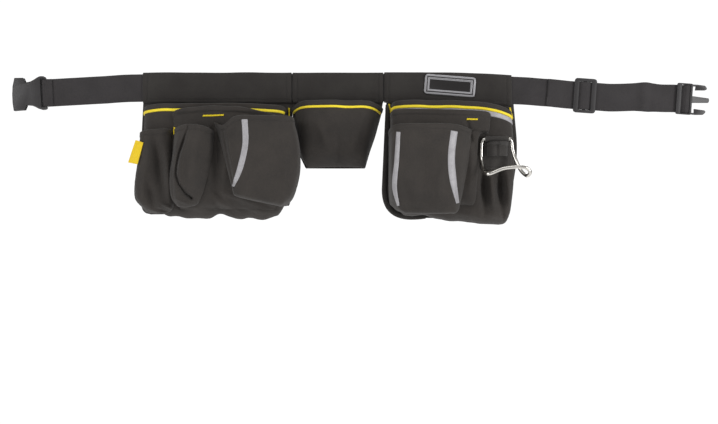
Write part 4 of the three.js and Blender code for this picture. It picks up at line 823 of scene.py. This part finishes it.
sew("left_middle_pocket", left=LEFT_MAIN + 0.23 * LEFT_MAIN_WIDE, rim=-42.5,
    width=153, height=134, depth=12, hugging=True, square=2.6, crown=10, seed=33, soft=1.2,
    dips=[(-78, 34, 7), (-112, 20, 2)], rows=[
        (0, 0, 0.99, 1, 0, 0, 0.0), (0.35, 0.01, 0.99, 1), (0.7, 0.02, 0.985, 0.95), (0.9, 0.04, 0.96, 0.75),
        (1, 0.06, 0.93, 0)],
    creases=[(-170, -95, 3, 44, 6, -7), (-154, -95, -6, 45, 5, 2.5), (-180, -130, -10, 30, 6, 2),
             (-140, -160, 70, 22, 4, 2.4), (-165, -158, 40, 14, 4, -2.5)])
sew("left_level_pocket", left=LEFT_LEFT + 1.3, rim=-70.5, width=51,
    height=109, depth=62, square=2.7, crown=3, seed=35, soft=1.0, foot=1.5, rows=[
        (0, 0.01, 0.92, 0.95, -0.01, 0.02, -0.04), (0.3, -0.055, 0.93, 0.96, -0.05),
        (0.62, -0.155, 0.98, 1.02, -0.08), (0.84, -0.155, 1, 1.02, -0.06),
        (0.93, 0, 0.97, 0.85, 0, 0, 0, 0.03), (0.955, 0.07, 0.93, 0.55, 0, 0, 0, 0.07),
        (0.96, 0.13, 0.88, 0.02)],
    folds=[(0.5, 0.45, 0.16, 0.5, -0.2), (0.86, 0.75, 0.14, 0.3, 0.18)],
    creases=[(-250, -112, 9, 38, 6.5, -8), (-262, -158, 14, 20, 5.5, -6), (-236, -140, 5, 34, 5.5, 6),
             (-272, -130, -4, 36, 6, 3), (-238, -173, 62, 11, 2.6, 4), (-246, -178, 75, 8, 2.2, -3.5)])
sew("left_knife_pocket", left=LEFT_LEFT + 54.5, rim=-65, width=56,
    height=108, depth=92, square=2.8, crown=5.5, seed=37, soft=0.9, foot=1.2, rows=[
        (0, -0.02, 0.98, 1, 0.26, 0.12, 0.02), (0.3, -0.07, 0.95, 1, 0.18, 0.2),
        (0.6, -0.12, 0.84, 0.97, 0.12, 0.3), (0.84, -0.1, 0.7, 0.85, 0.1, 0.3),
        (0.96, 0.0, 0.58, 0.55, 0.06, 0.15, 0, 0.04), (0.985, 0.1, 0.5, 0.04)],
    folds=[(0.3, 0.6, 0.1, 0.35, -0.14), (0.55, 0.86, 0.1, 0.14, -0.16)],
    seams=[([(-205, -62), (-212, -82), (-218, -99), (-221.5, -115), (-222.5, -128), (-219, -142),
             (-211, -155), (-204, -161)], 2.2, -6.5)],
    creases=[(-196, -112, -4, 34, 7, 3.5), (-186, -150, -14, 20, 5, 3), (-223, -84, -12, 18, 4, 3.0),
             (-214, -166, 70, 10, 2.6, 3), (-206, -158, 40, 7, 2.4, -3)])
sew("left_front_pouch", left=LEFT_RIGHT - 0.2 - LEFT_FRONT_WIDE, rim=-52, width=LEFT_FRONT_WIDE,
    height=116, depth=96, square=4.5, crown=4, seed=39, soft=0.9, rows=[
        (0, 0.02, 0.995, 1, 0.22, -0.13), (0.28, 0.12, 1.04, 0.98, 0.13, -0.18, 0.02),
        (0.56, 0.19, 1.06, 0.97, 0.07, -0.165, 0.07), (0.79, 0.245, 1.02, 0.94, 0.03, -0.1, 0.12),
        (0.855, 0.265, 0.97, 0.84, 0.01, -0.02, 0.145, 0.035),
        (0.86, 0.28, 0.97, 0.4, 0, 0, 0.125, 0.06), (0.835, 0.29, 0.955, 0.03, 0, 0, 0.095)],
    folds=[(0.62, 0.3, 0.3, 0.3, 0.04)], welts=[(50, 5, 0.9, 0.05)], dips=[(-158, 12, 11)],
    seams=[([(-158.5, -66), (-151.5, -104), (-143, -144)], 1.9, -3.4),
           ([(-153.5, -64), (-147, -104), (-139, -146)], 1.5, 1.6)],
    creases=[(-112, -75, 70, 30, 5, 1.4), (-85, -120, 15, 34, 9, -2.6), (-120, -135, -30, 26, 7, 2),
             (-148, -70, -30, 12, 5, -2.5)])

# %% Middle and right cluster
sew("tape_pouch", left=MIDDLE_LEFT + 1.2, rim=-30.5, width=128, height=86,
    depth=45, square=5, crown=8, play=0.3, level=PANEL_THICK, seed=41, soft=0.9,
    sags=[(0.5, 0.28, -0.022)], rows=[
        (0, -0.022, 1.01, 1, 0.11, 0.13), (0.25, -0.004, 0.965, 0.99, 0.09, 0.09),
        (0.55, 0.03, 0.903, 0.9, 0.06, 0.06), (0.8, 0.08, 0.848, 0.62, 0.02, 0.03),
        (0.985, 0.148, 0.805, 0.2), (0.995, 0.152, 0.8, 0)],
    creases=[(-20, -75, 20, 30, 6, 2), (25, -80, -18, 32, 6, 1.8), (0, -95, 0, 22, 5, -2)])
rim_tape("tape_piping", POUCHES["tape_pouch"], 0.02, 0.98, 6.6, 3.3, 1.3)
RIGHT_MAIN, RIGHT_RIM = RIGHT_LEFT + 10.5, -27
sew("right_main_pouch", left=RIGHT_MAIN, rim=RIGHT_RIM, width=170, height=160,
    depth=53, square=5.5, crown=4.5, play=0.3, seed=43, soft=1.3, foot=1.5, rows=[
        (0, 0, 1, 1, 0, 0, 0.02), (0.3, 0, 1.025, 0.98, 0, 0, 0.02), (0.62, 0, 1.025, 1.02, 0, 0, 0.03),
        (0.86, 0.035, 1, 1, 0, 0, 0.05, 0.01), (0.92, 0.065, 0.975, 0.8, 0, 0, 0.065, 0.06),
        (0.945, 0.09, 0.955, 0.36, 0, 0, 0.07, 0.06), (0.94, 0.12, 0.945, 0, 0, 0, 0.07)],
    folds=[(0.86, 0.72, 0.13, 0.2, -0.26), (0.8, 0.96, 0.2, 0.1, 0.06)], sags=[(0.25, 0.08, -0.045)],
    dips=[(262, 38, 12)],
    creases=[(206.5, -146, 2, 28, 4.2, -13), (219, -148, 3, 29, 4.6, 9), (231.5, -146, 2, 28, 4.0, -13),
             (243, -154, 2, 24, 4, 7), (219, -176, 85, 8, 3, -3), (236, -190, 10, 10, 3, -4),
             (224, -186, 75, 18, 3.5, 2.5), (180, -184, 80, 26, 4, 2)])
rim_tape("right_main_piping", POUCHES["right_main_pouch"], 0.05, 0.96, 6.2, 4.0, 1.3)
rim_tape("right_main_reflective", POUCHES["right_main_pouch"], 0.06, 0.955, 10.6, 7.0, 0.6,
         bead_tape, "reflective")
RIGHT_MIDDLE = RIGHT_MAIN - 2.6
sew("right_middle_pocket", left=RIGHT_MIDDLE, rim=-43.5, width=139.5,
    height=122, depth=65, square=5, crown=7.5, seed=45, soft=0.8, rows=[
        (0, 0, 1, 1, 0, 0, 0.02), (0.185, 0, 0.985, 1, 0, 0, 0.02), (0.25, 0, 0.885, 1, 0, 0, 0.02),
        (0.75, 0.005, 0.87, 1, 0, 0, 0.03), (0.93, 0.015, 0.85, 0.85, 0, 0, 0.06),
        (0.98, 0.01, 0.82, 0.03, 0, 0, 0.07)],
    seams=[([(182, -54), (185, -66), (188, -80)], 2.8, -3.6)],
    creases=[(194, -96, 6, 26, 4, -2), (188, -124, -6, 30, 5, 2.5)])
sew("right_front_pouch", left=RIGHT_MIDDLE - 2.6, rim=-65.5, width=116,
    height=120.5, depth=98, square=4.5, crown=6, seed=47, soft=0.9, rows=[
        (0, 0, 0.99, 1, 0.03, 0.18), (0.32, 0, 0.96, 0.98, 0.02, 0.17), (0.66, 0, 0.9, 0.97, 0.01, 0.1),
        (0.84, 0.013, 0.86, 0.96, 0.03, 0.03, 0, 0.04), (0.87, 0.04, 0.84, 0.82, 0.07, 0, 0, 0.1),
        (0.87, 0.05, 0.825, 0.36, 0.04, 0, 0, 0.08), (0.84, 0.05, 0.815, 0.02)],
    welts=[(130, 5, 0.8, 0.05), (47, 5, 1.0, 0.05)],
    creases=[(118, -115, 4, 44, 10, -3), (142, -135, -8, 34, 8, 2.6), (95, -150, 20, 22, 6, -2),
             (128, -74, 80, 26, 5, 1.6), (110, -176, 84, 26, 3.5, -2.5)])

# %% Reflective stripes
front_stripe("left_front_stripe", POUCHES["left_front_pouch"], 8.0, [
    (0.445, 0.01, 1), (0.455, 0.3, 1), (0.38, 0.6, 0.95), (0.285, 0.8, 0.5)])
front_stripe("right_front_stripe_right", POUCHES["right_front_pouch"], 9.5, [
    (0.765, 0.03, 1), (0.73, 0.32, 1), (0.75, 0.58, 1), (0.81, 0.85, 0.5)])
front_stripe("right_front_stripe_left", POUCHES["right_front_pouch"], 6.0, [
    (0.1, 0.04, 0.9), (0.08, 0.37, 1), (0.055, 0.66, 1), (0.1, 0.88, 0.5)])

# %% [markdown]
# ## Binding and label
# The panel's free edge is wrapped in a folded tape, ribbed across. The small yellow label is one
# ribbon folded in half with both ends caught in the pocket's side seam, so its lower side shows two
# thin layers with a gap between them.

# %% Binding tape
def binding():
    edge, foot, corner = RIGHT_EDGE, -RIGHT_DROP, EDGE_CORNER
    t = np.linspace(0, 1, 60)[:, None]
    bend = arc(t, *np.array([[edge, foot + corner], [edge, foot], [edge + corner, foot]]))
    fall = np.linspace(-CHANNEL_HALF - 4, foot + corner + 1, 90)
    straight = np.stack([edge + EDGE_SLANT * np.linspace(1, 0, 90), fall], 1)
    foot_run = np.array([[edge + corner + n, foot + 0.004 * n ** 2] for n in range(1, 21)])
    route = np.concatenate([straight, bend, foot_run])
    way = unit(np.gradient(route, axis=0))
    outward = np.stack([way[:, 1], -way[:, 0]], 1)
    turn = np.linspace(-math.pi / 2, math.pi / 2, 11)
    outside = [(-5.0, -GAP - 1.0)] + [(0.3 + 1.4 * math.cos(a), 1.5 + 2.8 * math.sin(a)) for a in turn]
    outside += [(-5.0, PANEL_THICK + GAP + 1.0)]
    inside = [(-5.0, PANEL_THICK + GAP), (0.2, PANEL_THICK + GAP), (0.2, -GAP), (-5.0, -GAP)]
    profile = np.array(outside + inside)
    wave = 0.25 * soft_noise(np.arange(len(route)) * 1.4, np.zeros(len(route)), 9, 77)
    rings = np.empty((len(route), len(profile), 3))
    side = profile[None, :, 0] + wave[:, None] * (profile[None, :, 0] < -4)
    rings[..., 0] = route[:, :1] + outward[:, :1] * side
    rings[..., 1] = -profile[None, :, 1]
    rings[..., 2] = route[:, 1:] + outward[:, 1:] * side
    press(rings[:, 8:13])
    return swept("right_binding_tape", rings)


dress(binding(), binding_tape, "binding", "right_binding")


# %% Folded label
def label():
    low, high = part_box("left_label")
    back, front = -high[1] / MM, -low[1] / MM
    top_right, top_left = np.array([-272.4, -83.0]), np.array([-283.0, -79.5])
    foot_right, foot_left = np.array([-280.5, -113.2]), np.array([-293.6, -110.6])
    turn = np.linspace(0, 1, 80)[None, :]
    down = np.linspace(0, 1, 60)[:, None]
    fold = np.clip((turn - 0.42) / 0.16, 0, 1) * math.pi
    reach = np.where(turn < 0.42, turn / 0.42, np.where(turn > 0.58, (1 - turn) / 0.42, 1.0))
    half = (front - back) / 2 - 0.4
    out = (front + back) / 2 + half * np.cos(fold) * (1 - 0.35 * (1 - reach) ** 3)
    along = reach * 0.93 + 0.07 * np.sin(fold)
    right = top_right * (1 - down[..., None]) + foot_right * down[..., None]
    left = top_left * (1 - down[..., None]) + foot_left * down[..., None]
    place = right * (1 - along[..., None]) + left * along[..., None]
    out = out + 0.5 * np.sin(down * 5.0) * along
    grid = np.stack([place[..., 0], -out, place[..., 1]], axis=2)
    normal = grid_normals(grid, 10)
    return closed_cloth("left_label_ribbon", grid + normal * 0.1, grid - normal * 0.6)


dress(label(), label_tape, "piping", "left_label")

# %% [markdown]
# ## Hammer tab and loop
# A square patch on the pouch's side carries a tunnel for a steel wire and a short band for a small
# tool. The wire is one closed loop of plated steel rod: it hangs from the tunnel, drops beside the
# patch and swings forward into a bar that would hold a hammer's head.

# %% Patch, tunnel and band
TAB_LEFT, TAB_WIDE, TAB_TOP, TAB_TALL = RIGHT_MAIN + 124, 44.5, RIGHT_RIM - 51, 42.0
WIRE = 5.0
WIRE_OUT = -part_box("hammer_loop")[1][1] / MM + WIRE / 2
BAR = (TAB_LEFT + 4, TAB_LEFT + TAB_WIDE - 4)


def tab_patch():
    side, down = np.meshgrid(np.linspace(-1, 1, 60), np.linspace(-1, 1, 60))
    squeeze = 1 - 0.035 * (side * down) ** 6
    x = TAB_LEFT + TAB_WIDE / 2 * (1 + side * squeeze)
    z = TAB_TOP - TAB_TALL / 2 * (1 + down * squeeze)
    edge = np.minimum(1 - np.abs(side), 1 - np.abs(down)) * TAB_WIDE / 2
    seat = look(seat_map(1.5, 3.0), x, z) + 0.4
    rise = 1.6 * np.clip(0.4 + edge / 1.5, 0, 1) - 0.45 * np.exp(-((edge - 3) / 0.6) ** 2)
    rise += 0.3 * soft_noise(x, z, 9, 91)
    outer = np.stack([x, -(seat + np.maximum(rise, 0.3)), z], axis=2)
    press(outer)
    return closed_cloth("hammer_tab_patch", outer, np.stack([x, -seat, z], axis=2))


def tab_tunnel():
    turn = circle(48)
    xs = np.linspace(BAR[0] + 2, BAR[1] - 2, 40)
    bulge = 1 + 0.03 * np.sin(xs / 3)[:, None]
    sheets = []
    for radius in (WIRE / 2 + 1.7, WIRE / 2 + 0.35):
        out = WIRE_OUT + radius * np.cos(turn)[None] * bulge
        rise = TAB_TOP + radius * np.sin(turn)[None] * bulge
        sheets.append(np.stack([np.repeat(xs[:, None], len(turn), 1), -out, rise], axis=2))
    press(sheets[0])
    return closed_cloth("hammer_tab_tunnel", sheets[0], sheets[1], wrap=True)


patch, tunnel = tab_patch(), tab_tunnel()
dress(patch, binding_tape, "binding", "hammer_tab")
dress(tunnel, binding_tape, "binding", "hammer_tab")
band = pouch("tool_band_tape", left=TAB_LEFT + 8.2, rim=TAB_TOP - 5.3, width=30, height=18, depth=15,
             hugging=True, square=2.3, play=0.3, seed=93, soft=0.3, hem=False, mesh=(40, 90), rows=[
                 (0, 0, 1, 0.92), (0.5, 0, 1, 1), (1, 0, 1, 0.94)],
             folds=[(0.45, 0.5, 0.08, 2, -0.18)])
dress(band["piece"], binding_tape, "binding", "tool_band")


# %% Steel wire loop
def closed_curve(corners, count):
    """A smooth closed curve through corners, tight where they lie close together."""
    corners = np.asarray(corners, float)
    total = len(corners)
    pieces = []
    for n in range(total):
        p0, p1, p2, p3 = (corners[(n + k) % total] for k in (-1, 0, 1, 2))
        d0, d1, d2 = (math.sqrt(np.linalg.norm(b - a)) for a, b in ((p0, p1), (p1, p2), (p2, p3)))
        m1 = ((p1 - p0) / d0 - (p2 - p0) / (d0 + d1) + (p2 - p1) / d1) * d1
        m2 = ((p2 - p1) / d1 - (p3 - p1) / (d1 + d2) + (p3 - p2) / d2) * d1
        t = np.linspace(0, 1, 24, endpoint=False)[:, None]
        pieces.append(hermite(t, p1, m1, p2, m2))
    curve = np.concatenate(pieces)
    step = np.linalg.norm(np.roll(curve, -1, 0) - curve, axis=1)
    length = np.concatenate([[0], np.cumsum(step)])
    at = np.linspace(0, length[-1], count, endpoint=False)
    closed = np.concatenate([curve, curve[:1]])
    return np.stack([np.interp(at, length, closed[:, k]) for k in range(3)], axis=1)


def wire_loop():
    left, right = BAR
    reach, drop = 28.0, 48.0

    def place(x, share, forward):
        return [x, -(WIRE_OUT + reach * forward), TAB_TOP - share * drop]

    corners = [
        (left, 0, 0), (left + 2, 0, 0), ((left + right) / 2, 0, 0), (right - 2, 0, 0), (right, 0, 0),
        (right + 2.5, 0.09, 0), (right + 4, 0.3, 0), (right + 8, 0.6, 0.1), (right + 15, 0.95, 0.4),
        (right + 22, 1.08, 0.7), (right + 25, 0.98, 0.92), (right + 19, 0.86, 1.02),
        (left * 0.3 + right * 0.7, 0.87, 1.07), (left + 4.5, 1.03, 0.99), (left - 0.5, 1, 0.78),
        (left - 2, 0.82, 0.35), (left - 3.5, 0.55, 0.04), (left - 3.5, 0.3, 0), (left - 2.5, 0.09, 0)]
    line = closed_curve([place(*corner) for corner in corners], 260)
    way = unit(np.roll(line, -1, 0) - np.roll(line, 1, 0))
    side = np.zeros_like(line)
    side[0] = np.cross(way[0], [0, 0, 1])
    for n in range(1, len(line)):
        side[n] = side[n - 1] - way[n] * side[n - 1].dot(way[n])
        side[n] /= np.linalg.norm(side[n])
    other = np.cross(way, side)
    turn = circle(24)
    rings = (line[:, None] + WIRE / 2 * (np.cos(turn)[None, :, None] * side[:, None]
                                         + np.sin(turn)[None, :, None] * other[:, None]))
    index = np.arange(rings.shape[0] * rings.shape[1]).reshape(rings.shape[:2])
    nxt = np.roll(index, -1, 0)
    # The frame comes home turned by some angle; the last ring is joined to its nearest points
    shift = int(np.argmin(np.linalg.norm(rings[0] - rings[-1, :1], axis=1)))
    nxt[-1] = np.roll(index[0], -shift)
    faces = np.stack([index, np.roll(index, -1, 1), np.roll(nxt, -1, 1), nxt], axis=2).reshape(-1, 4)
    return new_piece("hammer_loop_wire", rings.reshape(-1, 3), faces)


dress(wire_loop(), loop_steel, "steel", "hammer_loop")

# %% [markdown]
# ## Buckle, slider and badge
# These are injection moulded. The model has their exact shape with sharp edges, so a copy of each
# mesh is cleaned, its flat faces are joined again, and every sharp edge gets the small radius that a
# mould leaves. Light runs along these rounded edges and makes the plastic read as plastic.

# %% Moulded parts from the model's own shapes
def socket_mouth(point):
    """The socket's mouth is flat, and its lower lip reaches a little further out than the upper one."""
    reach = smooth((FEMALE_X - 22 - point.x / MM) / 22)
    rise = float(np.clip((point.z / MM + 9) / 24, -1, 1))
    point.x += MM * float(reach) * (1.4 * (1 - rise * rise) - 3.6 * max(-rise, 0) ** 2)


def settle(made):
    """Turn what the modifiers make into the object's own plain mesh."""
    bpy.context.view_layer.update()
    ready = bpy.data.meshes.new_from_object(made.evaluated_get(bpy.context.evaluated_depsgraph_get()))
    made.modifiers.clear()
    made.data = ready
    ready.polygons.foreach_set("use_smooth", np.ones(len(ready.polygons), bool))

def moulded_copy(node, material, slot, radius, reshape=None):
    name = node + "_moulding"
    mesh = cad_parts[node].data.copy()
    mesh.name = name
    if reshape:
        for vertex in mesh.vertices:
            reshape(vertex.co)
    shape = bmesh.new()
    shape.from_mesh(mesh)
    bmesh.ops.remove_doubles(shape, verts=shape.verts, dist=1e-5)
    bmesh.ops.dissolve_limit(shape, angle_limit=math.radians(1.5), verts=shape.verts, edges=shape.edges)
    shape.to_mesh(mesh)
    shape.free()
    made = placed(name, mesh)
    soften = made.modifiers.new("mould_radius", "BEVEL")
    soften.width = radius * MM
    soften.segments = 2
    soften.limit_method = "ANGLE"
    soften.angle_limit = math.radians(28)
    settle(made)
    made.data.set_sharp_from_angle(angle=math.radians(40))
    dress(made, material, slot, node)


moulded_copy("buckle_female", buckle_plastic, "plastic", 0.6, socket_mouth)
moulded_copy("buckle_male", buckle_plastic, "plastic", 0.45)
moulded_copy("slider", buckle_plastic, "plastic", 0.5)
moulded_copy("badge", badge_face, "badge", 0.25)

# %% [markdown]
# ## Stitches
# Every seam is sewn with thick thread, about three millimetres to a stitch. Stitches repeat along a
# line, so a node tree lays them: the line is cut into equal steps, a small spindle stands for one
# stitch, and it is turned along the line. The bartacks are dense zigzags of bright thread that lock
# the ends of a seam; there a thread is swept along the zigzag.

# %% Node trees for stitches and thread
def new_tree(name, *inputs):
    tree = bpy.data.node_groups.new(name, "GeometryNodeTree")
    tree.interface.new_socket("Geometry", in_out="INPUT", socket_type="NodeSocketGeometry")
    for title, kind, value in inputs:
        socket = tree.interface.new_socket(title, in_out="INPUT", socket_type=kind)
        if value is not None:
            socket.default_value = value
    tree.interface.new_socket("Geometry", in_out="OUTPUT", socket_type="NodeSocketGeometry")
    return tree, add(tree, "NodeGroupInput"), add(tree, "NodeGroupOutput")


def close_tree(tree, given, end, geometry):
    real = add(tree, "GeometryNodeRealizeInstances", {0: geometry})
    done = add(tree, "GeometryNodeSetMaterial", {"Geometry": real.outputs[0],
                                                 "Material": given.outputs["Material"]})
    tree.links.new(done.outputs[0], end.inputs[0])
    return tree

def stitch_tree():
    tree, given, end = new_tree(
        "row_of_stitches", ("Pitch", "NodeSocketFloat", 0.0032), ("Length", "NodeSocketFloat", 0.0024),
        ("Thread", "NodeSocketFloat", 0.0005), ("Material", "NodeSocketMaterial", None))
    line = add(tree, "GeometryNodeMeshToCurve", {0: given.outputs["Geometry"]})
    even = add(tree, "GeometryNodeResampleCurve", {
        "Curve": line.outputs[0], "Length": given.outputs["Pitch"]}, mode="LENGTH")
    spots = add(tree, "GeometryNodeCurveToPoints", {"Curve": even.outputs[0]}, mode="EVALUATED")
    turned = add(tree, "FunctionNodeAlignRotationToVector", {"Vector": spots.outputs["Tangent"]}, axis="Z")
    spindle = add(tree, "GeometryNodeMeshUVSphere", Segments=8, Rings=5, Radius=0.5)
    size = add(tree, "ShaderNodeCombineXYZ", {
        0: given.outputs["Thread"], 1: given.outputs["Thread"], 2: given.outputs["Length"]})
    laid = add(tree, "GeometryNodeInstanceOnPoints", {
        "Points": spots.outputs["Points"], "Instance": spindle.outputs["Mesh"],
        "Rotation": turned.outputs[0], "Scale": size.outputs[0]})
    return close_tree(tree, given, end, laid.outputs[0])

def thread_tree():
    tree, given, end = new_tree("thread_along_line", ("Thread", "NodeSocketFloat", 0.0006),
                                ("Material", "NodeSocketMaterial", None))
    line = add(tree, "GeometryNodeMeshToCurve", {0: given.outputs["Geometry"]})
    radius = maths(tree, "MULTIPLY", given.outputs["Thread"], 0.5)
    ring = add(tree, "GeometryNodeCurvePrimitiveCircle", {"Radius": radius}, Resolution=6)
    tube = add(tree, "GeometryNodeCurveToMesh", {
        "Curve": line.outputs[0], "Profile Curve": ring.outputs[0], "Fill Caps": True})
    return close_tree(tree, given, end, tube.outputs[0])

STITCHES, THREAD = stitch_tree(), thread_tree()


def run_tree(tree, name, lines, material, slot, **sizes):
    points, edges = [], []
    for line in lines:
        start = len(points)
        points += (np.asarray(line) * MM).tolist()
        edges += [(start + n, start + n + 1) for n in range(len(line) - 1)]
    mesh = bpy.data.meshes.new(name)
    mesh.from_pydata(points, edges, [])
    made = placed(name, mesh)
    modifier = made.modifiers.new("thread", "NODES")
    modifier.node_group = tree
    sizes["Material"] = material
    for item in tree.interface.items_tree:
        if item.in_out == "INPUT" and item.name in sizes:
            modifier[item.identifier] = sizes[item.name]
    settle(made)
    dress(made, material, slot)

# %% Rows of dark stitches
def hem_line(made, drop):
    return [along_pouch(made, n, [drop], "outer")[0] + along_pouch(made, n, [drop], "normal")[0] * 0.1
            for n in columns_of(made, 0.04, 0.96)]


def line_on_belt(x, z, lift=0.15):
    field = seat_map(0.0, 0.0)
    return np.stack([x, -(look(field, x, z) + lift), z], axis=1)


rows = [hem_line(made, HEM_TALL - 1.2) for made in POUCHES.values()]
for left, right, _ in SLEEVES:
    xs = np.linspace(left + 7, right - 7, 120)
    rows.append(line_on_belt(xs, strap_line(xs)[0] - 17.5))
    for x in (left + 6.5, right - 6.5):
        zs = np.linspace(19, -19, 30)
        rows.append(line_on_belt(np.full(30, x), zs + strap_line(np.full(30, x))[0]))
zs = np.linspace(-30, -146, 90)
rows.append(line_on_belt(np.full(90, RIGHT_EDGE + 3.6), zs))
inset = 3.2
xs = np.linspace(TAB_LEFT + inset, TAB_LEFT + TAB_WIDE - inset, 20)
rows.append(line_on_belt(xs, np.full(20, TAB_TOP - TAB_TALL + inset)))
run_tree(STITCHES, "dark_stitches", rows, black_thread, "cloth", Pitch=0.0032, Length=0.0024, Thread=0.0006)


# %% Yellow bartacks
def bartack(start, end, lift=0.5, wide=2.4, pitch=0.75):
    start, end = np.array(start, float), np.array(end, float)
    way = (end - start) / np.linalg.norm(end - start)
    count = int(np.linalg.norm(end - start) / pitch)
    t = np.linspace(0, 1, count)
    swing = np.where(np.arange(count) % 2, 0.5, -0.5) * wide
    x = start[0] + (end[0] - start[0]) * t - way[1] * swing
    z = start[1] + (end[1] - start[1]) * t + way[0] * swing
    fine = np.linspace(0, count - 1, count * 4)
    x, z = np.interp(fine, np.arange(count), x), np.interp(fine, np.arange(count), z)
    return line_on_belt(x, z, lift)


tacks = [bartack((-71, -29.5), (-70.8, -41)), bartack((-188, -45.5), (-159, -44.6)),
         bartack((-229.5, -61), (-230, -71)), bartack((181.6, -50.3), (197, -50.5)),
         bartack((74.2, -23.5), (76.8, -36)), bartack((249.6, -29), (253.2, -44.5), 1.6)]
run_tree(THREAD, "yellow_bartacks", tacks, yellow_thread, "piping", Thread=0.0009)

# %% [markdown]
# ## Floor
# The belt hangs, so its floor lies far below: a wide disc of white paper that sends some light up
# under the pouches. It isn't part of the belt.

# %% Paper floor
FLOOR_DEEP, FLOOR_WIDE, FLOOR_SIDES = 3.0, 8.0, 96
points = [(0, 0, -FLOOR_DEEP)]
points += [(FLOOR_WIDE * math.cos(a), FLOOR_WIDE * math.sin(a), -FLOOR_DEEP) for a in circle(FLOOR_SIDES)]
faces = [(0, n + 1, (n + 1) % FLOOR_SIDES + 1) for n in range(FLOOR_SIDES)]
floor_mesh = bpy.data.meshes.new("paper_floor")
floor_mesh.from_pydata(points, [], faces)
floor = placed("paper_floor", floor_mesh)
paper, paper_tree = finish("white_paper", Roughness=0.9, Emission_Strength=0.55,
                           Emission_Color=(1, 1, 1, 1))
paint(paper_tree, noise(paper_tree, 4.0), linear("fbfbfa"), linear("ffffff"))
floor.data.materials.append(paper)
print("paper floor:", len(faces), "faces")
